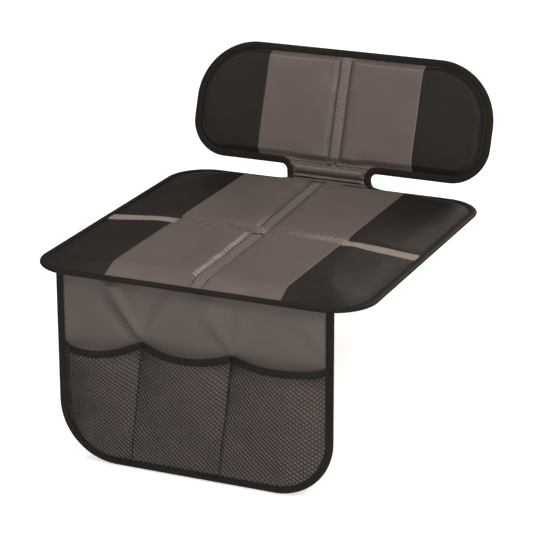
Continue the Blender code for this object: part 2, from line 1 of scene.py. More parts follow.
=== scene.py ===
"""Looks of a car seat protector mat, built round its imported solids.

The mat is drawn flat, in its own coordinates: x to the right, s from the front edge to the top of the
back pad, and h up from the underside. The fold at the neck then puts it in place. The flap has its own
coordinates: x, the drop below the seat pad, and how far forward of its own front face. Lengths are in
metres.
"""
import logging
import math
from bisect import bisect_right
from collections.abc import Callable, Sequence
from dataclasses import dataclass, field
from enum import Enum

import bmesh
import bpy
from mathutils import Matrix, Vector, noise


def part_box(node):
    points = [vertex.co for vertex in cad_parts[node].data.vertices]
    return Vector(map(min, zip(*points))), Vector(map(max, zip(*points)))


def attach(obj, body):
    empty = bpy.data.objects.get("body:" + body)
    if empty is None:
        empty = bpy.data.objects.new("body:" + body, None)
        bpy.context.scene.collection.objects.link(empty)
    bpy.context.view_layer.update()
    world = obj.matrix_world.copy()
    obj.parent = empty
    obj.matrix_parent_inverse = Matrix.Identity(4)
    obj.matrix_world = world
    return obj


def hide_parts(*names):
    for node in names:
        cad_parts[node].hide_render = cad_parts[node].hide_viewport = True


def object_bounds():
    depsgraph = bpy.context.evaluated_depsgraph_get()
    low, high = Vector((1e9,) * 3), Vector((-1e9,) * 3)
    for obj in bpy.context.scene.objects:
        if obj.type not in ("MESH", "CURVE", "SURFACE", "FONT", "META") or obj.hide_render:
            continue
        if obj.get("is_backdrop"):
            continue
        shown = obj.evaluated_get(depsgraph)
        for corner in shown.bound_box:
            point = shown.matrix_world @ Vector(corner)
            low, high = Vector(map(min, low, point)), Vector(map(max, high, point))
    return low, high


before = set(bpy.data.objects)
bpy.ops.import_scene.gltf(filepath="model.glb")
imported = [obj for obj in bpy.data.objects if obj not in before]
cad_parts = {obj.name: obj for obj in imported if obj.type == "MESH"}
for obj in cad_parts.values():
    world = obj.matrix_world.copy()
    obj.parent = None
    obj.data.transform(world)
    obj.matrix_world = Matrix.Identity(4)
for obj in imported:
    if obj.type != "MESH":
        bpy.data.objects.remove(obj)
CAD_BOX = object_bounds()
LOG = logging.getLogger("mat")

Grid = list[list[Vector]]
Flat = list[list[tuple[float, float]]]
Path = list[tuple[tuple[float, float], tuple[float, float]]]

# Sizes that several pieces share, as in the solids
GAP = 0.0003
EDGE_INSET = 0.0015
BINDING_WIDTH = 0.0105
BINDING_THICKNESS = 0.0008
COVER_THICKNESS = 0.0010
RIM_TOP = 0.0028
FOAM_BASE = 0.0018
SEAT_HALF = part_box("edge_binding")[1][0]
SEAT_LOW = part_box("seat_underside")[0][1] - EDGE_INSET
SEAT_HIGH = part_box("seat_underside")[1][1] + EDGE_INSET
FLAP_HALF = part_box("flap_binding")[1][0]
FLAP_DROP = -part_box("flap_binding")[0][2]
FLAP_FRONT_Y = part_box("flap_panel")[0][1]
CENTRE_HALF = 0.0085
CROSS_S = -0.015
CROSS_HALF = 0.0106
PUCKER_PITCH = 0.0092
TICK_PITCH = 0.0064
STITCH_PITCH = 0.0036
SEAM_STEP = 0.003
NECK_REACH = 0.022
NECK_BLEND = 0.014
SIM_FRAMES = 20

# Noise bumps to the metre in the cloths
BROAD_CLOUDS = 9.0
FINE_CLOUDS = 260.0
WORN_CLOUDS = 60.0
COVERED_CLOUDS = 40.0
UNEVEN_CLOUDS = 35.0


def smooth_step(value: float) -> float:
    """Ease from 0 to 1 as value goes from 0 to 1."""
    value = min(max(value, 0.0), 1.0)
    return value * value * (3.0 - 2.0 * value)


def hump(offset: float, width: float) -> float:
    """Bell shape, 1 at offset 0 and falling off over width."""
    return math.exp(-((offset / width) ** 2))


def wander(x: float, y: float, size: float, seed: float) -> float:
    """Smooth fixed noise from -1 to 1, with bumps of about the given size."""
    return noise.noise(Vector((x / size, y / size, seed)))


def steps(low: float, high: float, coarse: float, fine: float, reach: float) -> list[float]:
    """List places from low to high, fine near both ends and coarse between.

    Args:
        low: First place.
        high: Last place.
        coarse: Step in the middle.
        fine: Step at the ends.
        reach: Distance from an end over which the step grows.

    Returns:
        The places, with low and high among them.
    """
    places = [0.0]
    length = high - low
    while places[-1] < length:
        near = min(places[-1], length - places[-1])
        places.append(places[-1] + fine + (coarse - fine) * smooth_step(near / reach))
    return [low + place * length / places[-1] for place in places]


def evenly(low: float, high: float, step: float) -> list[float]:
    """List places from low to high, about a step apart."""
    return steps(low, high, step, step, step)


# The fold at the neck


@dataclass(frozen=True)
class Fold:
    """The bend that takes the flat mat to its place.

    Args:
        start: Where along s the bend begins.
        radius: Radius of the underside in the bend.
        angle: How far the back pad is turned up.
        straight: Straight length of the neck above the bend.
        shift: How far the back pad lies to the right.
    """

    start: float = 0.251
    radius: float = 0.008
    angle: float = math.radians(70.5)
    straight: float = 0.0155
    shift: float = -0.0045

    def length(self) -> float:
        """Length of the neck from the bend's start to the back pad."""
        return self.radius * self.angle + self.straight

    def place(self, x: float, s: float, h: float) -> Vector:
        """Place a point of the flat mat on the folded mat, whose back pad lies a little to one side."""
        past = s - self.start
        if past <= 0.0:
            return Vector((x, s, h))
        turned = min(past / self.radius, self.angle)
        beyond = max(past - self.radius * self.angle, 0.0)
        along = Vector((0.0, math.cos(turned), math.sin(turned)))
        normal = Vector((0.0, -math.sin(turned), math.cos(turned)))
        shifted = x + self.shift * min(past / self.length(), 1.0)
        centre = Vector((shifted, self.start, self.radius))
        return centre - normal * (self.radius - h) + along * beyond


FOLD = Fold()
NECK_HALF = 0.066
NECK_OFFSET = -0.0085
BACK_LOW = FOLD.start + FOLD.length()
BACK_HIGH = BACK_LOW + 0.174
BACK_HALF = 0.231


# Shaders


class Signal:
    """A number on a socket, whose operators add Math nodes."""

    def __init__(self, shader: "Shader", socket: bpy.types.NodeSocket) -> None:
        """Wrap a socket of a shader's tree."""
        self.shader = shader
        self.socket = socket

    def _math(self, operation: str, *values: "Signal | float") -> "Signal":
        """Add a Math node over values."""
        return self.shader.node("ShaderNodeMath", {"operation": operation}, dict(enumerate(values)))

    def __add__(self, other: "Signal | float") -> "Signal":
        """Add."""
        return self._math("ADD", self, other)

    def __sub__(self, other: "Signal | float") -> "Signal":
        """Subtract."""
        return self._math("SUBTRACT", self, other)

    def __rsub__(self, other: float) -> "Signal":
        """Subtract from a number."""
        return self._math("SUBTRACT", other, self)

    def __mul__(self, other: "Signal | float") -> "Signal":
        """Multiply."""
        return self._math("MULTIPLY", self, other)

    __radd__ = __add__
    __rmul__ = __mul__

    def sine(self) -> "Signal":
        """Sine of the value, in radians."""
        return self._math("SINE", self)

    def absolute(self) -> "Signal":
        """Size of the value."""
        return self._math("ABSOLUTE", self)

    def over(self, edge: float, blur: float) -> "Signal":
        """Ease from 0 to 1 as the value passes an edge."""
        settings = {"interpolation_type": "SMOOTHSTEP"}
        values = {"Value": self, "From Min": edge - blur, "From Max": edge + blur}
        return self.shader.node("ShaderNodeMapRange", settings, values)


class Shader:
    """The node tree of a Principled material or of the world."""

    def __init__(self, holder: bpy.types.Material | bpy.types.World, last: str) -> None:
        """Start on the tree of a material or world, whose last shader has the given name."""
        holder.use_nodes = True
        self.tree = holder.node_tree
        self.surface = self.tree.nodes[last]

    def node(self, kind: str, settings: dict, values: dict, output: str | int = 0) -> Signal:
        """Add a node.

        Args:
            kind: The node's type.
            settings: Its properties, set first.
            values: Values or signals of its sockets.
            output: Which output is handed back.

        Returns:
            The output, as a signal.
        """
        made = self.tree.nodes.new(kind)
        for key, value in settings.items():
            setattr(made, key, value)
        for key, value in values.items():
            self.set_input(made, key, value)
        return Signal(self, made.outputs[output])

    def set_input(self, node: bpy.types.Node, key: str | int, value: object) -> None:
        """Give a node's socket a value or a link."""
        if isinstance(value, Signal):
            self.tree.links.new(value.socket, node.inputs[key])
        else:
            node.inputs[key].default_value = value

    def coordinates(self, mapped: bool, plain: str = "Object") -> Signal:
        """The piece's own UV map in metres, or plain coordinates of the given kind."""
        return self.node("ShaderNodeTexCoord", {}, {}, "UV" if mapped else plain)

    def axes(self, vector: Signal) -> tuple[Signal, Signal, Signal]:
        """Split a vector into its three numbers."""
        made = self.tree.nodes.new("ShaderNodeSeparateXYZ")
        self.tree.links.new(vector.socket, made.inputs[0])
        return Signal(self, made.outputs[0]), Signal(self, made.outputs[1]), Signal(self, made.outputs[2])

    def cloud(self, vector: Signal, scale: float, detail: float = 2.0) -> Signal:
        """Noise from 0 to 1, with scale bumps to the metre."""
        return self.node("ShaderNodeTexNoise", {}, {"Vector": vector, "Scale": scale, "Detail": detail})

    def grains(self, vector: Signal, scale: float) -> Signal:
        """Rounded grains, scale of them to the metre."""
        settings = {"feature": "SMOOTH_F1"}
        return self.node("ShaderNodeTexVoronoi", settings, {"Vector": vector, "Scale": scale}, "Distance")

    def mix(self, share: Signal, low: Sequence[float], high: Sequence[float] | Signal) -> Signal:
        """Mix two colours by a share."""
        settings = {"data_type": "RGBA", "blend_type": "MIX"}
        made = self.tree.nodes.new("ShaderNodeMix")
        for key, value in settings.items():
            setattr(made, key, value)
        self.set_input(made, 0, share)
        self.set_input(made, 6, low if isinstance(low, Signal) else (*low, 1.0))
        self.set_input(made, 7, high if isinstance(high, Signal) else (*high, 1.0))
        return Signal(self, made.outputs[2])


class Relief(Enum):
    """The small relief of a cloth's surface."""

    GRAIN = "leather grain"
    DOTS = "embossed dots"
    RIBS = "ribs across a tape"
    TWILL = "fine slanted twill"
    THREAD = "loose thread"


@dataclass(frozen=True)
class Finish:
    """How one kind of cloth looks.

    Args:
        slot: Material slot of the record.
        colour: Its linear colour.
        light: Its lighter colour, in broad clouds where it is rubbed or stretched, and as painted highlight
            on the relief's high points.
        roughness: Its usual roughness.
        relief: Its small relief.
        pitch: Distance between two dots, ribs or grains.
        depth: Height of the relief.
        gloss: Specular level.
        sheen: Share of soft sheen.
        mapped: Whether it follows the piece's own UV map.
        painted_top_highlight: How much lighter a painted highlight makes the relief's high points.
    """

    slot: str
    colour: tuple[float, float, float]
    light: tuple[float, float, float]
    roughness: float
    relief: Relief
    pitch: float
    depth: float
    gloss: float = 0.3
    sheen: float = 0.0
    mapped: bool = True
    painted_top_highlight: float = 0.25

    def height(self, shader: Shader, place: Signal) -> Signal:
        """Relief of the surface, from about 0 to 1."""
        across, along, _ = shader.axes(place)
        turns = 2.0 * math.pi / self.pitch
        if self.relief is Relief.GRAIN:
            return shader.grains(place, 1.0 / self.pitch) + 0.5 * shader.cloud(place, 0.4 / self.pitch)
        if self.relief is Relief.DOTS:
            return (across * turns).sine() * (along * turns).sine() * 0.5 + 0.5
        if self.relief is Relief.RIBS:
            return (along * turns + (across * turns * 2.0).sine() * 0.6).sine() * 0.5 + 0.5
        if self.relief is Relief.TWILL:
            return ((across + along) * turns).sine() * 0.5 + 0.5 * shader.cloud(place, 1.0 / self.pitch)
        return shader.cloud(place, 1.0 / self.pitch, 4.0)

    def colouring(self, shader: Shader, place: Signal, raised: Signal) -> Signal:
        """Colour over the surface: broad clouds, and a painted highlight that makes the relief's high points
        a little lighter.
        """
        broad = shader.cloud(place, BROAD_CLOUDS, 3.0)
        fine = shader.cloud(place, FINE_CLOUDS, 2.0)
        # Painted highlight: the relief's high points are drawn towards the lighter colour.
        share = broad.over(0.5, 0.25) * 0.45 + fine.over(0.5, 0.3) * 0.2 + raised * self.painted_top_highlight
        return shader.mix(share, self.colour, self.light)

    def make(self) -> bpy.types.Material:
        """Make the material, or hand back the one already made."""
        known = bpy.data.materials.get(f"{self.slot}_{self.relief.name.lower()}")
        if known:
            return known
        material = bpy.data.materials.new(f"{self.slot}_{self.relief.name.lower()}")
        shader = Shader(material, "Principled BSDF")
        place = shader.coordinates(self.mapped)
        raised = self.height(shader, place)
        surface = shader.surface
        shader.set_input(surface, "Base Color", self.colouring(shader, place, raised))
        uneven = shader.cloud(place, UNEVEN_CLOUDS, 3.0)
        shader.set_input(surface, "Roughness", (uneven - 0.5) * 0.16 + self.roughness)
        surface.inputs["Specular IOR Level"].default_value = self.gloss
        surface.inputs["Sheen Weight"].default_value = self.sheen
        surface.inputs["Sheen Roughness"].default_value = 0.4
        bump = {"Strength": 1.0, "Distance": self.depth, "Height": raised}
        shader.set_input(surface, "Normal", shader.node("ShaderNodeBump", {}, bump))
        return material


@dataclass(frozen=True)
class CrumpledCloth(Finish):
    """Grey cloth, which is crumpled where the cross strip was sewn through it.

    Args:
        crumple_size: Distance between two crumples.
        crumple_depth: Their height.
        crumple_reach: How far they go from the cross strip's middle.
        crumple_blur: How softly they end there.
        crumple_side: How far they go to each side of the seat's middle.
    """

    crumple_size: float = 0.0042
    crumple_depth: float = 0.0024
    crumple_reach: float = 0.0150
    crumple_blur: float = 0.0045
    crumple_side: float = 0.122

    def height(self, shader: Shader, place: Signal) -> Signal:
        """Relief with the crumples."""
        across, along, _ = shader.axes(place)
        near = 1.0 - (along - CROSS_S).absolute().over(self.crumple_reach, self.crumple_blur)
        inside = 1.0 - across.absolute().over(self.crumple_side, 0.006)
        rough = shader.cloud(place, 1.0 / self.crumple_size, 1.0)
        share = self.crumple_depth / self.depth
        return super().height(shader, place) + rough * near * inside * share


@dataclass(frozen=True)
class CrossTape(CrumpledCloth):
    """The tape across the seat: light on the black panels and nearly grey on the grey ones, with a painted
    sheen on the right.

    Args:
        grey_half: How far from the middle it is grey.
        painted_sheen_middle: Where a painted sheen starts to make it lighter on the right.
        painted_sheen_blur: How softly the painted sheen comes in.
        painted_sheen_share: How much lighter the painted sheen makes it there.
        patch_share: How much lighter it is over the centre strip.
    """

    grey_half: float = 0.124
    painted_sheen_middle: float = 0.060
    painted_sheen_blur: float = 0.030
    painted_sheen_share: float = 0.45
    patch_share: float = 0.35

    def colouring(self, shader: Shader, place: Signal, raised: Signal) -> Signal:
        """Colour over the tape, by its distance from the middle."""
        across, _, _ = shader.axes(place)
        outer = across.absolute().over(self.grey_half, 0.004)
        # Painted sheen: the tape is drawn lighter towards the right.
        painted_sheen = across.over(self.painted_sheen_middle, self.painted_sheen_blur) * self.painted_sheen_share
        outer = outer + painted_sheen * (1.0 - outer)
        patch = (1.0 - across.absolute().over(CENTRE_HALF, 0.0015)) * self.patch_share
        outer = outer + patch * (1.0 - outer)
        clouds = shader.cloud(place, WORN_CLOUDS, 3.0)
        grey = shader.mix(clouds, GREY.colour, GREY.light)
        light = shader.mix(clouds, self.colour, self.light)
        return shader.mix(outer, grey, light)


@dataclass(frozen=True)
class FlapCloth(Finish):
    """The flap's cloth, painted lighter behind the net to offset the shade that the net casts on it.

    Args:
        covered: Height below which the net covers it.
        painted_light_gain: How many times lighter it is painted there, as painted light against the net's
            shade.
    """

    covered: float = -0.105
    painted_light_gain: float = 1.55

    def colouring(self, shader: Shader, place: Signal, raised: Signal) -> Signal:
        """Colour over the flap, by its drop, with painted light behind the net."""
        _, along, _ = shader.axes(place)
        # Painted light: behind the net the cloth is drawn lighter to offset the net's shade on it.
        low = tuple(self.painted_light_gain * value for value in self.colour)
        high = tuple(self.painted_light_gain * value for value in self.light)
        behind = shader.mix(shader.cloud(place, COVERED_CLOUDS, 3.0), low, high)
        open_cloth = super().colouring(shader, place, raised)
        return shader.mix(along.over(self.covered, 0.012), behind, open_cloth)


GREY = CrumpledCloth(
    "grey_cover", (0.104, 0.082, 0.072), (0.136, 0.108, 0.096), 0.42, Relief.GRAIN, 0.0013, 0.00006,
    gloss=0.32,
)
GREY_TAPE = Finish(
    "grey_cover", (0.122, 0.098, 0.086), (0.182, 0.150, 0.133), 0.40, Relief.TWILL, 0.0016, 0.00005,
    gloss=0.32,
)
# Black cloth, with a strong painted highlight on its embossed dots.
BLACK = Finish(
    "black_cover", (0.0052, 0.0042, 0.0037), (0.022, 0.0173, 0.0152), 0.45, Relief.DOTS, 0.0032, 0.00034,
    gloss=0.18, painted_top_highlight=0.55,
)
LIGHT_TAPE = CrossTape(
    "strip", (0.230, 0.188, 0.165), (0.320, 0.264, 0.232), 0.46, Relief.TWILL, 0.0016, 0.00006,
    gloss=0.30,
)
BINDING = Finish(
    "binding", (0.0062, 0.0050, 0.0038), (0.018, 0.014, 0.0095), 0.55, Relief.RIBS, 0.0014, 0.00012,
    gloss=0.14,
)
THREAD = Finish(
    "binding", (0.016, 0.013, 0.011), (0.038, 0.032, 0.027), 0.60, Relief.THREAD, 0.0012, 0.00004,
    gloss=0.20, mapped=False,
)
BACKING = Finish(
    "underside", (0.020, 0.018, 0.017), (0.040, 0.036, 0.034), 0.80, Relief.THREAD, 0.0011, 0.00008,
    gloss=0.15, sheen=0.1, mapped=False,
)
# Flap cloth, with painted light behind the net.
FLAP_CLOTH = FlapCloth(
    "flap", (0.088, 0.072, 0.065), (0.118, 0.098, 0.089), 0.50, Relief.TWILL, 0.0012, 0.00004,
    gloss=0.25,
)
TAPE_THREAD = Finish(
    "strip", (0.17, 0.14, 0.122), (0.25, 0.21, 0.185), 0.60, Relief.THREAD, 0.0012, 0.00004,
    gloss=0.20, mapped=False,
)
NET_YARN = Finish(
    "net", (0.0060, 0.0049, 0.0042), (0.013, 0.0105, 0.0090), 0.60, Relief.THREAD, 0.0014, 0.00006,
    gloss=0.2, mapped=False,
)
FOAM = Finish(
    "foam", (0.060, 0.058, 0.055), (0.085, 0.082, 0.078), 0.90, Relief.THREAD, 0.0020, 0.00020,
    gloss=0.2, mapped=False,
)


# Meshes


def make_piece(name: str, points: Sequence[Vector], faces: Sequence[Sequence[int]], finish: Finish,
               places: Sequence[tuple[float, float]] | None = None) -> bpy.types.Object:
    """Make a closed piece, dress it and let it ride on the mat.

    Args:
        name: Name of the piece.
        points: Its corners.
        faces: Its faces, by corner numbers.
        finish: Its finish.
        places: UV place of each corner, in metres.

    Returns:
        The new object.
    """
    data = bpy.data.meshes.new(name)
    data.from_pydata([tuple(point) for point in points], [], faces)
    if places is not None:
        layer = data.uv_layers.new(name="flat")
        corners = [0] * len(data.loops)
        data.loops.foreach_get("vertex_index", corners)
        layer.data.foreach_set("uv", [value for corner in corners for value in places[corner]])
    mesh = bmesh.new()
    mesh.from_mesh(data)
    bmesh.ops.recalc_face_normals(mesh, faces=list(mesh.faces))
    mesh.to_mesh(data)
    mesh.free()
    data.shade_smooth()
    data.set_sharp_from_angle(angle=math.radians(50))
    return dress(bpy.data.objects.new(name, data), finish)


def dress(piece: bpy.types.Object, finish: Finish) -> bpy.types.Object:
    """Put a new piece in the scene with its finish, riding on the mat's one body."""
    bpy.context.scene.collection.objects.link(piece)
    piece.data.materials.clear()
    piece.data.materials.append(finish.make())
    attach(piece, "root")
    LOG.info("%s: %d faces", piece.name, len(piece.data.polygons))
    return piece


def slab(name: str, top: Grid, bottom: Grid, places: Flat, finish: Finish) -> bpy.types.Object:
    """Make a closed sheet from its two faces.

    Args:
        name: Name of the piece.
        top: Rows of points of the face that shows.
        bottom: Rows of points of the hidden face.
        places: UV place of each point of the rows.
        finish: Its finish.

    Returns:
        The new object.
    """
    rows = len(top)
    columns = len(top[0])
    size = rows * columns
    faces = []
    for row in range(rows - 1):
        for column in range(columns - 1):
            corner = row * columns + column
            quad = (corner, corner + 1, corner + columns + 1, corner + columns)
            faces.append(quad)
            faces.append(tuple(size + place for place in reversed(quad)))
    border = list(range(columns))
    border += [row * columns + columns - 1 for row in range(1, rows)]
    border += [(rows - 1) * columns + column for column in range(columns - 2, -1, -1)]
    border += [row * columns for row in range(rows - 2, 0, -1)]
    for first, second in zip(border, border[1:] + border[:1]):
        faces.append((second, first, first + size, second + size))
    points = [point for row in top for point in row] + [point for row in bottom for point in row]
    flat = [place for row in places for place in row]
    return make_piece(name, points, faces, finish, flat + flat)


def sheet_between(name: str, rows: Sequence[float], line: Callable[[float], list[float]],
                  top: Callable[[float, float], Vector], bottom: Callable[[float, float], Vector],
                  finish: Finish, sign: float = 1.0) -> bpy.types.Object:
    """Make a closed sheet between two faces that are given as functions.

    Args:
        name: Name of the piece.
        rows: Places of its rows along s, or drops.
        line: Gives the columns' x of a row.
        top: Gives the point of the face that shows, from x and the row's place.
        bottom: Gives the point of the hidden face.
        finish: Its finish.
        sign: -1 where the rows are drops, which its UV map turns upside down.

    Returns:
        The new object.
    """
    lines = [line(row) for row in rows]
    upper = [[top(x, row) for x in across] for across, row in zip(lines, rows)]
    lower = [[bottom(x, row) for x in across] for across, row in zip(lines, rows)]
    places = [[(x, sign * row) for x in across] for across, row in zip(lines, rows)]
    return slab(name, upper, lower, places, finish)


def loft(name: str, rings: Grid, closed: bool, places: Flat, finish: Finish) -> bpy.types.Object:
    """Make a tube from its rings, capped at both ends or joined up.

    Args:
        name: Name of the piece.
        rings: Rings of points, all of one length.
        closed: Whether the last ring runs on into the first.
        places: UV place of each point of the rings.
        finish: Its finish.

    Returns:
        The new object.
    """
    count = len(rings)
    size = len(rings[0])
    faces = []
    for ring in range(count if closed else count - 1):
        here = ring * size
        there = (ring + 1) % count * size
        for corner in range(size):
            beside = (corner + 1) % size
            faces.append((here + corner, here + beside, there + beside, there + corner))
    if not closed:
        faces.append(tuple(range(size)))
        faces.append(tuple((count - 1) * size + corner for corner in reversed(range(size))))
    points = [point for ring in rings for point in ring]
    return make_piece(name, points, faces, finish, [place for ring in places for place in ring])


# What repeats along a path, as Geometry Nodes


class NodeTree:
    """A Geometry Nodes tree that is built in code."""

    def __init__(self, name: str) -> None:
        """Start a tree with a geometry input and output."""
        self.tree = bpy.data.node_groups.new(name, "GeometryNodeTree")
        self.tree.interface.new_socket("Geometry", in_out="INPUT", socket_type="NodeSocketGeometry")
        self.tree.interface.new_socket("Geometry", in_out="OUTPUT", socket_type="NodeSocketGeometry")
        self.start = self.tree.nodes.new("NodeGroupInput")
        self.end = self.tree.nodes.new("NodeGroupOutput")

    def size(self, name: str) -> bpy.types.NodeSocket:
        """Add a named length as an input."""
        self.tree.interface.new_socket(name, in_out="INPUT", socket_type="NodeSocketFloat")
        return self.start.outputs[name]

    def node(self, kind: str, settings: dict, values: dict) -> bpy.types.Node:
        """Add a node with its settings and its sockets' values or links."""
        made = self.tree.nodes.new(kind)
        for key, value in settings.items():
            setattr(made, key, value)
        for key, value in values.items():
            if isinstance(value, bpy.types.NodeSocket):
                self.tree.links.new(value, made.inputs[key])
            else:
                made.inputs[key].default_value = value
        return made

    def finish(self, geometry: bpy.types.NodeSocket, material: bpy.types.Material) -> None:
        """End the tree: real meshes, shaded smooth, in one material."""
        real = self.node("GeometryNodeRealizeInstances", {}, {"Geometry": geometry})
        smooth = self.node("GeometryNodeSetShadeSmooth", {}, {"Geometry": real.outputs[0]})
        values = {"Geometry": smooth.outputs[0], "Material": material}
        painted = self.node("GeometryNodeSetMaterial", {}, values)
        self.tree.links.new(painted.outputs[0], self.end.inputs[0])


def stitch_tree(finish: Finish) -> bpy.types.NodeTree:
    """Tree that lays stitches along the edges of a mesh: inputs Pitch, Length and Thickness."""
    nodes = NodeTree(f"stitches_of_{finish.slot}")
    pitch = nodes.size("Pitch")
    length = nodes.size("Length")
    thickness = nodes.size("Thickness")
    curve = nodes.node("GeometryNodeMeshToCurve", {}, {"Mesh": nodes.start.outputs[0]})
    values = {"Curve": curve.outputs[0], "Length": pitch}
    spaced = nodes.node("GeometryNodeResampleCurve", {"mode": "LENGTH"}, values)
    tangent = nodes.node("GeometryNodeInputTangent", {}, {})
    values = {"Vector": tangent.outputs[0]}
    turned = nodes.node("FunctionNodeAlignRotationToVector", {"axis": "X"}, values)
    bead = nodes.node("GeometryNodeMeshUVSphere", {}, {"Segments": 6, "Rings": 5, "Radius": 0.5})
    size = nodes.node("ShaderNodeCombineXYZ", {}, {"X": length, "Y": thickness, "Z": thickness})
    values = {
        "Points": spaced.outputs[0], "Instance": bead.outputs[0], "Rotation": turned.outputs[0],
        "Scale": size.outputs[0],
    }
    laid = nodes.node("GeometryNodeInstanceOnPoints", {}, values)
    nodes.finish(laid.outputs[0], finish.make())
    return nodes.tree


def strand_tree(finish: Finish) -> bpy.types.NodeTree:
    """Tree that turns the edges of a mesh into flat strands: inputs Width and Thickness."""
    nodes = NodeTree("strands_of_the_net")
    width = nodes.size("Width")
    thickness = nodes.size("Thickness")
    curve = nodes.node("GeometryNodeMeshToCurve", {}, {"Mesh": nodes.start.outputs[0]})
    level = nodes.node("GeometryNodeSetCurveNormal", {"mode": "Z_UP"}, {"Curve": curve.outputs[0]})
    values = {"Width": width, "Height": thickness}
    section = nodes.node("GeometryNodeCurvePrimitiveQuadrilateral", {"mode": "RECTANGLE"}, values)
    values = {"Curve": level.outputs[0], "Profile Curve": section.outputs[0], "Fill Caps": True}
    solid = nodes.node("GeometryNodeCurveToMesh", {}, values)
    nodes.finish(solid.outputs[0], finish.make())
    return nodes.tree


def grow(name: str, lines: Sequence[Sequence[Vector]], tree: bpy.types.NodeTree, sizes: dict[str, float],
         finish: Finish) -> bpy.types.Object:
    """Run a tree over lines of points and keep the result as a plain mesh.

    Args:
        name: Name of the piece.
        lines: The lines that the tree follows.
        tree: The Geometry Nodes tree.
        sizes: Value of each named input.
        finish: Finish of the piece.

    Returns:
        The new object.
    """
    points = [tuple(point) for line in lines for point in line]
    edges = []
    first = 0
    for line in lines:
        edges += [(first + place, first + place + 1) for place in range(len(line) - 1)]
        first += len(line)
    data = bpy.data.meshes.new(f"{name}_lines")
    data.from_pydata(points, edges, [])
    carrier = bpy.data.objects.new(f"{name}_lines", data)
    bpy.context.scene.collection.objects.link(carrier)
    modifier = carrier.modifiers.new("Grow", "NODES")
    modifier.node_group = tree
    sockets = {item.name: item.identifier for item in tree.interface.items_tree if item.in_out == "INPUT"}
    for key, value in sizes.items():
        modifier[sockets[key]] = value
    result = bpy.data.meshes.new_from_object(carrier.evaluated_get(bpy.context.evaluated_depsgraph_get()))
    result.name = name
    bpy.data.objects.remove(carrier)
    bpy.data.meshes.remove(data)
    return dress(bpy.data.objects.new(name, result), finish)


@dataclass
class Seams:
    """Stitches, gathered line by line and then made in one piece.

    Args:
        name: Name of the piece.
        pitch: Distance between two stitches.
        length: Length of a stitch.
        thickness: Its thickness.
        thread: Its finish.
        lines: The lines that the stitches follow.
    """

    name: str
    pitch: float = STITCH_PITCH
    length: float = 0.0027
    thickness: float = 0.0007
    thread: Finish = THREAD
    lines: list[list[Vector]] = field(default_factory=list)

    def add(self, line: list[Vector]) -> None:
        """Add a line of stitches."""
        self.lines.append(line)

    def build(self) -> bpy.types.Object:
        """Make the stitches."""
        sizes = {"Pitch": self.pitch, "Length": self.length, "Thickness": self.thickness}
        return grow(self.name, self.lines, stitch_tree(self.thread), sizes, self.thread)


# Pads


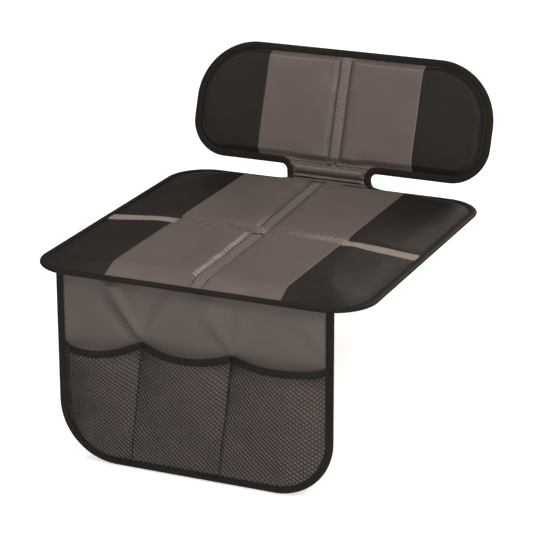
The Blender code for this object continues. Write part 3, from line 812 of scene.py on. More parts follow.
@dataclass
class Pad:
    """A padded panel with its cover pieces.

    Args:
        name: First word of its pieces' names.
        half: Half its width.
        low: Its edge nearest the flap, along s.
        high: Its other edge.
        low_radius: Radius of the corners at low.
        high_radius: Radius of the corners at high.
        grey_half: Half the width of the grey part.
        full: Height of the cover's outer face in the middle.
        neck_at_high: Whether the neck joins at the high edge.
        lean_low: How far the centre strip leans at low.
        lean_high: How far it leans at high.
        lean_clear: Width of cloth beside the strip that leans as much.
        crossing: Whether the cross strip lies over it.
        shoulder: How far its sides take to reach the full height.
        end_shoulder: How far its two ends take.
        shoulder_power: How full the shoulder is, where 1 is a straight slope.
        corner_blend: How softly sides and ends meet.
        rim: Where the shoulder starts, inside the edge.
        neck_rim: Where it starts at the neck.
        channel_depth: How deep the seams' channels are.
        channel_reach: How wide their slopes are.
        crease_depth: Depth of the crease at a seam.
        crease_width: Its width.
        crown: How far the centre strip stands up in its middle.
        shoulder_pucker: Height of the gathers beside the centre seam.
        strip_pucker: Height of the gathers across its strip.
        edge_pucker: Height of the gathers at the binding.
        pucker_reach: How far the gathers go.
        right_pucker: Share of the gathers' height on the right of the centre seam.
        crumple: Height of the crumples at the cross strip.
        swell_cap: Most that the cloth swells.
        settling: How often the swelling is smoothed.
        padding_depth: How far the padding lies below the cover's face.
        sim_rows: Rows of the simulated cloth, along s.
        sim_columns: Its columns, as shares of the half width.
        swelling: How far it swelled, by row and column.
    """

    name: str
    half: float
    low: float
    high: float
    low_radius: float
    high_radius: float
    grey_half: float
    full: float
    neck_at_high: bool
    lean_low: float = 0.0
    lean_high: float = 0.0
    lean_clear: float = 0.012
    crossing: bool = False
    shoulder: float = 0.0850
    end_shoulder: float = 0.0260
    shoulder_power: float = 1.25
    corner_blend: float = 0.16
    rim: float = 0.0117
    neck_rim: float = 0.0035
    channel_depth: float = 0.0036
    channel_reach: float = 0.0080
    crease_depth: float = 0.0013
    crease_width: float = 0.0011
    crown: float = 0.0010
    shoulder_pucker: float = 0.00110
    strip_pucker: float = 0.00050
    edge_pucker: float = 0.00045
    pucker_reach: float = 0.0075
    right_pucker: float = 0.30
    crumple: float = 0.0012
    swell_cap: float = 0.0016
    settling: int = 3
    padding_depth: float = 0.0036
    sim_rows: list[float] = field(default_factory=list)
    sim_columns: list[float] = field(default_factory=list)
    swelling: list[list[float]] = field(default_factory=list)

    def outline(self, s: float) -> float:
        """Half width of the cover at s, where it ends inside the binding."""
        near_low = s < (self.low + self.high) / 2
        radius = (self.low_radius if near_low else self.high_radius) - EDGE_INSET
        gap = (s - self.low if near_low else self.high - s) - EDGE_INSET
        side = self.half - EDGE_INSET
        if gap >= radius:
            return side
        return side - radius + math.sqrt(max(radius ** 2 - (radius - gap) ** 2, 0.0))

    def distance(self, x: float, s: float) -> float:
        """Distance from a point of the pad to its outline."""
        near_low = s < (self.low + self.high) / 2
        radius = self.low_radius if near_low else self.high_radius
        end_gap = s - self.low if near_low else self.high - s
        side_gap = self.half - abs(x)
        if side_gap < radius and end_gap < radius:
            return radius - math.hypot(radius - side_gap, radius - end_gap)
        return min(side_gap, end_gap)

    def lean(self, x: float, s: float) -> float:
        """Sideways lean of the cloth, which fades out towards the black panels."""
        ahead = max((CROSS_S - s) / (CROSS_S - self.low), 0.0)
        behind = max((s - CROSS_S) / (self.high - CROSS_S), 0.0)
        strip = CENTRE_HALF + self.lean_clear
        fade = 1.0 - smooth_step((abs(x) - strip) / (self.grey_half - strip))
        return (self.lean_low * ahead + self.lean_high * behind) * fade if self.crossing else 0.0

    def neck_share(self, x: float, s: float) -> float:
        """How much a point belongs to the edge that the neck joins."""
        if (s > (self.low + self.high) / 2) != self.neck_at_high:
            return 0.0
        return 1.0 - smooth_step((abs(x - NECK_OFFSET) - NECK_HALF + NECK_REACH) / NECK_BLEND)

    def base_height(self, x: float, s: float) -> float:
        """Height of the cover's face before it is sewn through."""
        share = self.neck_share(x, s)
        rim = self.rim * (1.0 - share) + self.neck_rim * share
        end_gap = min(s - self.low, self.high - s)
        at_end = smooth_step((self.half - abs(x) - end_gap) / self.corner_blend + 0.5)
        shoulder = self.shoulder + (self.end_shoulder - self.shoulder) * at_end
        run = min(max((self.distance(x, s) - rim) / shoulder, 0.0), 1.0)
        return RIM_TOP + (self.full - RIM_TOP) * (1.0 - (1.0 - run) ** self.shoulder_power)

    def channel(self, x: float, s: float) -> float:
        """Share of the channels' depth at a point."""
        offset = (abs(x) - CENTRE_HALF) / self.channel_reach
        share = 1.0 - smooth_step(offset)
        if self.crossing:
            across = (abs(s - CROSS_S) - CROSS_HALF) / self.channel_reach
            share = max(share, (1.0 - smooth_step(across)) * (1.0 - 0.75 * self.on_grey(x)))
        return share

    def crease(self, x: float, s: float) -> float:
        """Depth of the seams' creases at a point, as a share."""
        share = hump(abs(x) - CENTRE_HALF, self.crease_width)
        share = max(share, 0.42 * hump(abs(x) - self.grey_half, 0.0009))
        if self.crossing:
            shift = 0.0011 * wander(x, 0.0, 0.012, 11.0) * self.on_grey(x)
            sewn = hump(abs(s - CROSS_S) - CROSS_HALF + shift, self.crease_width)
            share = max(share, sewn * (0.8 - 0.78 * self.on_grey(x)))
        return share

    def puckers(self, x: float, s: float) -> float:
        """Small gathers beside the centre seam, and finer ones across its strip."""
        offset = abs(x) - CENTRE_HALF
        drift = 2.0 * wander(0.0, s, 0.05, 4.0)
        strength = 0.75 + 0.5 * wander(0.3, s, 0.03, 9.0)
        if offset < 0.0:
            phase = 2.0 * math.pi * (s + 0.4 * x) / TICK_PITCH + drift
            return self.strip_pucker * strength * math.sin(phase)
        side = 1.0 if x < 0.0 else self.right_pucker
        ridge = 1.0 - abs(math.sin(math.pi * (s - 0.25 * offset) / PUCKER_PITCH + drift / 2))
        fade = math.exp(-((offset / self.pucker_reach) ** 2)) * smooth_step(offset / 0.0020)
        return self.shoulder_pucker * strength * side * (ridge ** 1.2 - 0.25) * fade

    def edge_gathers(self, x: float, s: float) -> float:
        """Small gathers where the cover comes out of the binding."""
        gap = self.distance(x, s) - self.rim
        if gap > 0.012:
            return 0.0
        rough = wander(x, s, 0.0090, 41.0) + 0.5 * wander(x, s, 0.0045, 43.0)
        return self.edge_pucker * rough * hump(gap - 0.0025, 0.0040)

    def on_grey(self, x: float) -> float:
        """How much a place belongs to the grey panels, as a share."""
        return 1.0 - smooth_step((abs(x) - self.grey_half + 0.008) / 0.012)

    def cross_crumple(self, x: float, s: float) -> float:
        """Crumpled cloth along the cross strip, on the grey panels."""
        if not self.crossing:
            return 0.0
        offset = max(abs(s - CROSS_S) - CROSS_HALF, 0.0)
        if offset > 0.02:
            return 0.0
        rough = wander(x, s * 0.8, 0.0055, 2.0) + 0.65 * wander(x, s, 0.0032, 6.0)
        ticks = math.sin(2.0 * math.pi * x / 0.0075 + 3.0 * wander(x, 0.0, 0.02, 17.0))
        return self.crumple * (rough + 0.3 * ticks) * hump(offset, 0.0055) * self.on_grey(x)

    def swell(self, x: float, s: float) -> float:
        """How far the simulated cloth stood above its rest at a point."""
        if not self.swelling:
            return 0.0
        row = min(max(bisect_right(self.sim_rows, s) - 1, 0), len(self.sim_rows) - 2)
        share = x / max(self.outline(s), 0.001)
        column = min(max(bisect_right(self.sim_columns, share) - 1, 0), len(self.sim_columns) - 2)
        down = (s - self.sim_rows[row]) / (self.sim_rows[row + 1] - self.sim_rows[row])
        right = (share - self.sim_columns[column]) / (self.sim_columns[column + 1] - self.sim_columns[column])
        down = min(max(down, 0.0), 1.0)
        right = min(max(right, 0.0), 1.0)
        near = self.swelling[row]
        far = self.swelling[row + 1]
        first = near[column] * (1.0 - right) + near[column + 1] * right
        second = far[column] * (1.0 - right) + far[column + 1] * right
        return first * (1.0 - down) + second * down

    def height(self, x: float, s: float) -> float:
        """Height of the cover's outer face at a point."""
        face = self.base_height(x, s)
        share = min((face - RIM_TOP) / (self.full - RIM_TOP), 1.0)
        channel = self.channel(x, s)
        face -= self.channel_depth * channel * share
        face += self.swell(x, s) * smooth_step(share * 2.0)
        if abs(x) < CENTRE_HALF:
            face += self.crown * (1.0 - (x / CENTRE_HALF) ** 2) * share
        face -= self.crease_depth * self.crease(x, s) * smooth_step(share * 1.5)
        face += (self.puckers(x, s) + self.cross_crumple(x, s)) * smooth_step(share * 1.5)
        face += self.edge_gathers(x, s)
        return face + 0.00035 * wander(x, s, 0.06, 1.0) * share

    def place(self, x: float, s: float, lift: float) -> Vector:
        """Place a point of the cover on the mat, lifted off its outer face."""
        return FOLD.place(x + self.lean(x, s), s, self.height(x, s) + lift)

    def simulate(self) -> None:
        """Let the cover's cloth swell over the padding, held at its edge and its sewn channels."""
        self.sim_rows = steps(self.low + EDGE_INSET, self.high - EDGE_INSET, 0.0065, 0.0035, 0.03)
        self.sim_columns = [2.0 * place for place in steps(-0.5, 0.5, 0.0135, 0.007, 0.08)]
        rest = []
        held = []
        for s in self.sim_rows:
            for column in self.sim_columns:
                x = column * self.outline(s)
                share = (self.base_height(x, s) - RIM_TOP) / (self.full - RIM_TOP)
                sewn = self.channel(x, s)
                rest.append((x, s, self.base_height(x, s) - self.channel_depth * sewn * share))
                held.append(1.0 if sewn > 0.85 or share < 0.12 else 0.0)
        width = len(self.sim_columns)
        faces = []
        for row in range(len(self.sim_rows) - 1):
            for column in range(width - 1):
                corner = row * width + column
                faces.append((corner, corner + 1, corner + width + 1, corner + width))
        data = bpy.data.meshes.new(f"{self.name}_cloth")
        data.from_pydata(rest, [], faces)
        cloth_object = bpy.data.objects.new(f"{self.name}_cloth", data)
        bpy.context.scene.collection.objects.link(cloth_object)
        group = cloth_object.vertex_groups.new(name="held")
        group.add([place for place, weight in enumerate(held) if weight], 1.0, "REPLACE")
        moved = swell_cloth(cloth_object, "held")
        for row in range(len(self.sim_rows)):
            line = []
            for column in range(width):
                corner = row * width + column
                rise = moved[corner][2] - rest[corner][2]
                line.append(self.swell_cap * math.tanh(rise / self.swell_cap))
            self.swelling.append(line)
        for _ in range(self.settling):
            self.swelling = settled(self.swelling)
        highest = max(max(line) for line in self.swelling)
        LOG.info("%s cloth swelled by up to %.1f mm", self.name, highest * 1000)

    def rows(self, low: float, high: float, step: float) -> list[float]:
        """Places along s for a cover piece, with more of them at round corners."""
        places = steps(low, high, step, min(step, 0.0010), 0.010)
        for end, radius, sign in ((self.low, self.low_radius, 1.0), (self.high, self.high_radius, -1.0)):
            for step in range(1, 7):
                place = end + sign * (EDGE_INSET + radius * (1.0 - math.cos(math.radians(3.0 * step))))
                if low < place < high:
                    places.append(place)
        return sorted(places)

    def cover(self, name: str, limits: Callable[[float], tuple[float, float]], low: float, high: float,
              finish: Finish, lift: float = 0.0, step: float = 0.0034,
              row_step: float = 0.0015) -> bpy.types.Object:
        """Make one piece of the cover.

        Args:
            name: Name of the piece, which is its node's name with _cloth after it.
            limits: Gives the piece's left and right side at s.
            low: Its nearer edge.
            high: Its farther edge.
            finish: Its finish.
            lift: How far it lies above the cover's face.
            step: Distance between its columns in the middle.
            row_step: Distance between its rows.

        Returns:
            The new object.
        """
        rows = self.rows(low, high, row_step)
        left, right = limits((low + high) / 2)
        width = right - left
        columns = steps(0.0, 1.0, step / width, 0.0008 / width, 0.020 / width)

        def line(s: float) -> list[float]:
            """Columns of the row at s."""
            first, last = limits(s)
            return [first + (last - first) * column for column in columns]

        piece = sheet_between(
            f"{name}_cloth", rows, line, lambda x, s: self.place(x, s, lift),
            lambda x, s: self.place(x, s, lift - COVER_THICKNESS), finish,
        )
        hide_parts(name)
        return piece

    def panels(self, suffix: str, low: float, high: float) -> None:
        """Make the grey and black panels between two places along s."""
        grey = self.grey_half
        for side, sign in (("left", -1.0), ("right", 1.0)):
            def grey_limits(s: float, sign: float = sign) -> tuple[float, float]:
                """Sides of the grey panel."""
                return tuple(sorted((sign * (CENTRE_HALF + GAP), sign * (grey - GAP / 2))))

            def black_limits(s: float, sign: float = sign) -> tuple[float, float]:
                """Sides of the black panel."""
                return tuple(sorted((sign * (grey + GAP / 2), sign * self.outline(s))))

            for kind, limits, finish in (("grey", grey_limits, GREY), ("black", black_limits, BLACK)):
                piece = self.cover(f"{self.name}_{kind}_panel{suffix}_{side}", limits, low, high, finish)

    def centre_strip(self, suffix: str, low: float, high: float) -> None:
        """Make the centre strip between two places along s."""
        inside = CENTRE_HALF - GAP
        piece = self.cover(
            f"{self.name}_centre_strip{suffix}", lambda s: (-inside, inside), low, high, GREY_TAPE,
            lift=0.0003, step=0.0012, row_step=0.0009,
        )

    def foam(self) -> None:
        """Make the padding under the cover, flat below."""
        rows = steps(self.low + EDGE_INSET, self.high - EDGE_INSET, 0.008, 0.004, 0.02)
        columns = steps(-1.0, 1.0, 0.03, 0.015, 0.15)

        def line(s: float) -> list[float]:
            """Columns of the row at s."""
            return [column * (self.outline(s) - 0.0005) for column in columns]

        def top(x: float, s: float) -> Vector:
            """Point of the padding's upper face."""
            face = max(self.height(x, s) - self.padding_depth, FOAM_BASE + 0.0004)
            return FOLD.place(x + self.lean(x, s), s, face)

        piece = sheet_between(
            f"{self.name}_padding", rows, line, top,
            lambda x, s: FOLD.place(x + self.lean(x, s), s, FOAM_BASE), FOAM,
        )
        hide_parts(f"{self.name}_foam")

    def seam_lines(self, seams: Seams, low: float, high: float) -> None:
        """Add the stitches along both edges of the centre strip."""
        for sign in (-1.0, 1.0):
            x = sign * (CENTRE_HALF - 0.0016)
            seams.add([self.place(x, s, 0.0004) for s in evenly(low, high, SEAM_STEP)])


def settled(table: list[list[float]]) -> list[list[float]]:
    """Average each inner value of a table with its neighbours."""
    smooth = [line[:] for line in table]
    for row in range(1, len(table) - 1):
        for column in range(1, len(table[row]) - 1):
            beside = table[row][column - 1] + table[row][column + 1]
            around = table[row - 1][column] + table[row + 1][column] + beside
            smooth[row][column] = 0.5 * table[row][column] + 0.125 * around
    return smooth


def swell_cloth(cloth_object: bpy.types.Object, held: str) -> list[tuple[float, float, float]]:
    """Run a cloth with air pressure under it and no gravity.

    Args:
        cloth_object: An open sheet.
        held: Name of the group of its points that stay.

    Returns:
        Where its points end. The object is removed.
    """
    modifier = cloth_object.modifiers.new("Cloth", "CLOTH")
    cloth = modifier.settings
    cloth.quality = 6
    cloth.mass = 0.25
    cloth.tension_stiffness = 18.0
    cloth.compression_stiffness = 18.0
    cloth.shear_stiffness = 6.0
    cloth.bending_stiffness = 0.4
    cloth.vertex_group_mass = held
    cloth.use_pressure = True
    cloth.uniform_pressure_force = 4.0
    cloth.shrink_min = -0.02
    cloth.effector_weights.gravity = 0.0
    scene = bpy.context.scene
    for frame_number in range(1, SIM_FRAMES + 1):
        scene.frame_set(frame_number)
    moved = cloth_object.evaluated_get(bpy.context.evaluated_depsgraph_get())
    points = [tuple(corner.co) for corner in moved.data.vertices]
    data = cloth_object.data
    bpy.data.objects.remove(cloth_object)
    bpy.data.meshes.remove(data)
    scene.frame_set(1)
    return points


class SeatPad(Pad):
    """The seat pad, with its cross strip."""

    def strip_lift(self, x: float, s: float) -> float:
        """How far the cross strip lies above the cover, most of all over the centre strip."""
        across = 1.0 - ((s - CROSS_S) / CROSS_HALF) ** 2
        patch = 1.0 - smooth_step((abs(x) - CENTRE_HALF) / 0.0018)
        edge = hump(s - (CROSS_S - CROSS_HALF + 0.0014), 0.0010)
        taut = 1.0 - self.on_grey(x)
        lift = 0.0002 + (0.0004 + 0.0006 * across + 0.0004 * edge) * taut + 0.0019 * patch
        lift += 0.0011 * wander(x, s, 0.0042, 23.0) * patch
        return lift * smooth_step((self.distance(x, s) - 0.0045) / 0.008)

    def cross_strip(self) -> None:
        """Make the strip across the seat."""
        low = CROSS_S - CROSS_HALF + GAP
        high = CROSS_S + CROSS_HALF - GAP
        rows = steps(low, high, 0.0011, 0.0007, 0.004)
        side = self.outline(CROSS_S)
        columns = steps(-side, side, 0.0014, 0.0012, 0.02)
        piece = sheet_between(
            "seat_cross_strip_cloth", rows, lambda s: columns,
            lambda x, s: self.place(x, s, self.strip_lift(x, s)),
            lambda x, s: self.place(x, s, self.strip_lift(x, s) - COVER_THICKNESS), LIGHT_TAPE,
        )
        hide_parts("seat_cross_strip")

    def build(self) -> None:
        """Build the seat pad's pieces."""
        self.simulate()
        front = CROSS_S - CROSS_HALF - GAP
        rear = CROSS_S + CROSS_HALF + GAP
        self.panels("_front", self.low + EDGE_INSET, front)
        self.panels("_rear", rear, self.high - EDGE_INSET)
        self.centre_strip("_front", self.low + EDGE_INSET, front)
        self.centre_strip("_rear", rear, self.high - EDGE_INSET)
        self.cross_strip()
        self.foam()
        seams = Seams("seat_seam_stitches")
        self.seam_lines(seams, self.low + self.rim, front - 0.001)
        self.seam_lines(seams, rear + 0.001, self.high - 0.006)
        seams.build()
        tape_seams = Seams("cross_tape_stitches", thread=TAPE_THREAD)
        side = self.half - self.rim
        for s in (CROSS_S - CROSS_HALF + 0.0018, CROSS_S + CROSS_HALF - 0.0018):
            for low, high in ((-side, -self.grey_half), (self.grey_half, side)):
                tape_seams.add([self.place(x, s, 0.0010) for x in evenly(low, high, SEAM_STEP)])
        tape_seams.build()


class BackPad(Pad):
    """The back pad."""

    def build(self) -> None:
        """Build the back pad's pieces."""
        self.simulate()
        low = self.low + EDGE_INSET
        high = self.high - EDGE_INSET
        self.panels("", low, high)
        self.centre_strip("", low, high)
        self.foam()
        seams = Seams("back_seam_stitches")
        self.seam_lines(seams, self.low + self.rim, self.high - self.rim)
        seams.build()


# Bindings


def arc(centre: tuple[float, float], radii: tuple[float, float], start: float, end: float, turn: int,
        step: float = 0.0026) -> Path:
    """Path along an arc.

    Args:
        centre: Middle of the arc.
        radii: Its two radii.
        start: First angle in degrees.
        end: Last angle.
        turn: -1 if inward is towards the centre, 1 if away from it.
        step: Distance between points.

    Returns:
        Points with their inward directions.
    """
    count = max(int(math.radians(abs(end - start)) * max(radii) / step), 5)
    path = []
    for place in range(count + 1):
        angle = math.radians(start + (end - start) * place / count)
        across, along = math.cos(angle), math.sin(angle)
        length = math.hypot(across * radii[1], along * radii[0])
        inward = (turn * across * radii[1] / length, turn * along * radii[0] / length)
        path.append(((centre[0] + radii[0] * across, centre[1] + radii[1] * along), inward))
    return path


def joined(path: Path, step: float) -> Path:
    """Fill a path's long straight gaps with points."""
    filled = [path[0]]
    for point, inward in path[1:]:
        before, direction = filled[-1]
        gap = math.hypot(point[0] - before[0], point[1] - before[1])
        count = max(int(gap / step), 1)
        for place in range(1, count):
            share = place / count
            middle = tuple(here + (there - here) * share for here, there in zip(before, point))
            filled.append((middle, direction if share < 0.5 else inward))
        if gap > 1e-5:
            filled.append((point, inward))
    return filled


def mirrored(path: Path) -> Path:
    """Mirror a path to the left side."""
    return [((-x, y), (-inward_x, inward_y)) for (x, y), (inward_x, inward_y) in reversed(path)]


def lengths(path: Path) -> list[float]:
    """Length along a path at each of its points."""
    run = [0.0]
    for (point, _), (after, _) in zip(path, path[1:]):
        run.append(run[-1] + math.hypot(after[0] - point[0], after[1] - point[1]))
    return run


@dataclass
class Binding:
    """A tape folded round an edge.

    Args:
        name: Name of its node.
        low: Lower face of the layers that it grips.
        high: Upper face of those layers.
        place: Puts (x, y, height) in its place.
        closed: Whether the path joins up.
        nose: How far its rounded edge reaches in.
        gather: Height of its small waves.
        gather_pitch: Distance between two waves.
    """

    name: str
    low: float
    high: float
    place: Callable[[float, float, float], Vector]
    closed: bool
    nose: float = 0.0030
    gather: float = 0.00022
    gather_pitch: float = 0.0085

    def section(self) -> list[tuple[float, float, float]]:
        """Section as (inward, height, share of the gathers), outer face first."""
        bottom = self.low - GAP - BINDING_THICKNESS
        top = self.high + GAP + BINDING_THICKNESS
        middle = (top + bottom) / 2
        half = (top - bottom) / 2
        outer = [
            (BINDING_WIDTH, top - 0.0003, 0.3), (BINDING_WIDTH - 0.0010, top, 0.6),
            (BINDING_WIDTH * 0.72, top + 0.0003, 1.0), (BINDING_WIDTH * 0.45, top + 0.0002, 1.0),
        ]
        for step in range(9):
            angle = math.radians(90 - 180 * step / 8)
            outer.append((self.nose * (1.0 - math.cos(angle)), middle + half * math.sin(angle), 0.4))
        outer += [(BINDING_WIDTH * 0.5, bottom, 0.3), (BINDING_WIDTH - 0.0010, bottom, 0.3)]
        outer += [(BINDING_WIDTH, bottom + 0.0003, 0.2)]
        wall = BINDING_THICKNESS
        inner = [
            (BINDING_WIDTH, bottom + wall, 0.0), (0.0014, bottom + wall, 0.0),
            (0.0014, top - wall, 0.0), (BINDING_WIDTH, top - wall, 0.0),
        ]
        return outer + inner

    def build(self, path: Path, finish: Finish) -> bpy.types.Object:
        """Sweep the binding along its path."""
        section = self.section()
        runs = lengths(path)
        around = [0.0]
        for (inward, height, _), (after_in, after_up, _) in zip(section, section[1:]):
            around.append(around[-1] + math.hypot(after_in - inward, after_up - height))
        rings = []
        places = []
        for ((x, y), (inward_x, inward_y)), run in zip(path, runs):
            phase = 2.0 * math.pi * run / self.gather_pitch + 2.0 * wander(run, 0.0, 0.04, 3.0)
            wave = self.gather * (math.sin(phase) * 0.7 + wander(run, 1.0, 0.012, 8.0) * 0.8)
            ring = []
            for inward, height, share in section:
                rise = height + wave * share * (1.0 if height > self.low else -1.0)
                ring.append(self.place(x + inward_x * inward, y + inward_y * inward, rise))
            rings.append(ring)
            places.append([(run, across) for across in around])
        piece = loft(f"{self.name}_tape", rings, self.closed, places, finish)
        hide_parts(self.name)
        return piece

    def stitches(self, seams: Seams, path: Path, inward: float) -> None:
        """Add the binding's line of stitches, above and below."""
        top = self.high + GAP + BINDING_THICKNESS + 0.0004
        bottom = self.low - GAP - BINDING_THICKNESS - 0.0001
        for height in (top, bottom):
            line = [self.place(x + ix * inward, y + iy * inward, height) for (x, y), (ix, iy) in path]
            seams.add(line + line[:1] if self.closed else line)


@dataclass
class MatEdge:
    """The binding round the seat pad, the neck and the back pad.

    Args:
        seat: The seat pad.
        back: The back pad.
        left_sweep: Radii across and along of the edge's sweep into the neck, on the left.
        right_sweep: The same on the right.
        fillet: Radius of the corner between the neck and the back pad.
        step: Distance between the path's points.
        stitch_inset: Distance of its stitches from its inner edge.
    """

    seat: Pad
    back: Pad
    left_sweep: tuple[float, float] = (0.040, 0.004)
    right_sweep: tuple[float, float] = (0.030, 0.019)
    fillet: float = 0.009
    step: float = 0.0026
    stitch_inset: float = 0.0021

    def side(self, neck_half: float, sweep: tuple[float, float]) -> Path:
        """Right side of the path, with the neck's edge at neck_half and the sweep's two radii."""
        seat, back = self.seat, self.back
        corner = seat.low_radius
        right = arc((seat.half - corner, seat.low + corner), (corner, corner), -90, 0, -1)
        corner = seat.high_radius
        right += arc((seat.half - corner, seat.high - corner), (corner, corner), 0, 90, -1)
        right += arc((neck_half + sweep[0], seat.high + sweep[1]), sweep, -90, -180, 1)
        fillet_centre = (neck_half + self.fillet, back.low - self.fillet)
        right.append(((neck_half, back.low - self.fillet), (-1.0, 0.0)))
        right += arc(fillet_centre, (self.fillet, self.fillet), 180, 90, 1, 0.0012)
        corner = back.low_radius
        right += arc((back.half - corner, back.low + corner), (corner, corner), -90, 0, -1)
        corner = back.high_radius
        right += arc((back.half - corner, back.high - corner), (corner, corner), 0, 90, -1)
        return right

    def path(self) -> Path:
        """Path of the binding, from the middle of the front edge round to it again."""
        whole = self.side(NECK_HALF + NECK_OFFSET, self.right_sweep)
        whole += mirrored(self.side(NECK_HALF - NECK_OFFSET, self.left_sweep))
        around = joined(whole + whole[:1], self.step)
        return around[:-1]

    def build(self) -> None:
        """Build the binding and its stitches."""
        path = self.path()
        binding = Binding("edge_binding", 0.0, RIM_TOP, FOLD.place, True)
        binding.build(path, BINDING)
        seams = Seams("edge_stitches", thickness=0.0006)
        binding.stitches(seams, path, BINDING_WIDTH - self.stitch_inset)
        seams.build()


# Neck


@dataclass
class Neck:
    """The cloth between the pads, which lies in soft rolls.

    Args:
        seat: The seat pad.
        back: The back pad.
        edge: The binding round all three.
        start: Where the cloth starts, along s.
        end: Where it ends.
        rolls: Start, end and height of each roll, the first two as shares of the cloth.
        valley: How far the cloth dips between the rolls.
        knot_x: Where the bunched cloth is.
        knot_share: How far up it is, as a share of the cloth.
        knot_radius: Radius of its arch.
        knot_rise: Height of the arch.
        knot_dip: Depth of the dent under it.
    """

    seat: Pad
    back: Pad
    edge: MatEdge
    start: float = 0.2470
    end: float = BACK_LOW + 0.0098
    rolls: tuple[tuple[float, float, float], ...] = (
        (0.10, 0.25, 0.0020), (0.28, 0.46, 0.0036), (0.50, 0.83, 0.0046), (0.88, 0.99, 0.0012),
    )
    valley: float = 0.0015
    knot_x: float = 0.008
    knot_share: float = 0.86
    knot_radius: float = 0.0070
    knot_rise: float = 0.0046
    knot_dip: float = 0.0034

    def half_width(self, s: float, sweep: tuple[float, float]) -> float:
        """Half width of the neck's cloth at s on one side, inside the binding's fold."""
        width = NECK_HALF - EDGE_INSET
        short = 1.0 - min(max((s - self.seat.high) / sweep[1], 0.0), 1.0)
        width += 0.6 * sweep[0] * (1.0 - math.sqrt(1.0 - short ** 2))
        share = min(max((s - self.back.low) / self.edge.fillet + 1.0, 0.0), 1.0)
        return width + 0.9 * self.edge.fillet * (1.0 - math.sqrt(1.0 - share ** 2))

    def roll(self, x: float, s: float) -> float:
        """Height of the rolls above the neck's rim."""
        span = self.end - self.start
        place = (s - self.start) / span + 0.012 * wander(x, 0.0, 0.03, 5.0)
        height = -self.valley
        for low, high, rise in self.rolls:
            if low < place < high:
                share = (place - low) / (high - low)
                height = (rise + self.valley) * math.sin(math.pi * share) ** 0.6 - self.valley
        sweep = self.edge.right_sweep if x > 0.0 else self.edge.left_sweep
        inside = smooth_step((self.half_width(s, sweep) - 0.0085 - abs(x)) / 0.008)
        knot_s = self.start + span * self.knot_share
        ring = math.hypot(x - self.knot_x, (s - knot_s) * 1.1)
        arch = smooth_step((s - knot_s + 0.0035) / 0.003)
        knot = self.knot_rise * hump(ring - self.knot_radius, 0.0022) * arch
        tuck = -self.knot_dip * hump(ring, 0.0032)
        crumple = 0.00035 * wander(x, s, 0.010, 7.0)
        return (height + knot + tuck + crumple) * inside

    def build(self) -> None:
        """Build the neck's cloth."""
        rows = evenly(self.start, self.end, 0.0006)
        columns = steps(-1.0, 1.0, 0.022, 0.010, 0.2)
        over = RIM_TOP + 0.0002
        under = over - COVER_THICKNESS

        def line(s: float) -> list[float]:
            """Columns of the row at s."""
            left = self.half_width(s, self.edge.left_sweep)
            right = self.half_width(s, self.edge.right_sweep)
            return [column * (right if column > 0.0 else left) for column in columns]

        piece = sheet_between(
            "neck_panel_cloth", rows, line,
            lambda x, s: FOLD.place(x + NECK_OFFSET, s, over + self.roll(x, s)),
            lambda x, s: FOLD.place(x + NECK_OFFSET, s, under + self.roll(x, s)), GREY,
        )
        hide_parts("neck_panel")


# Flap and pockets


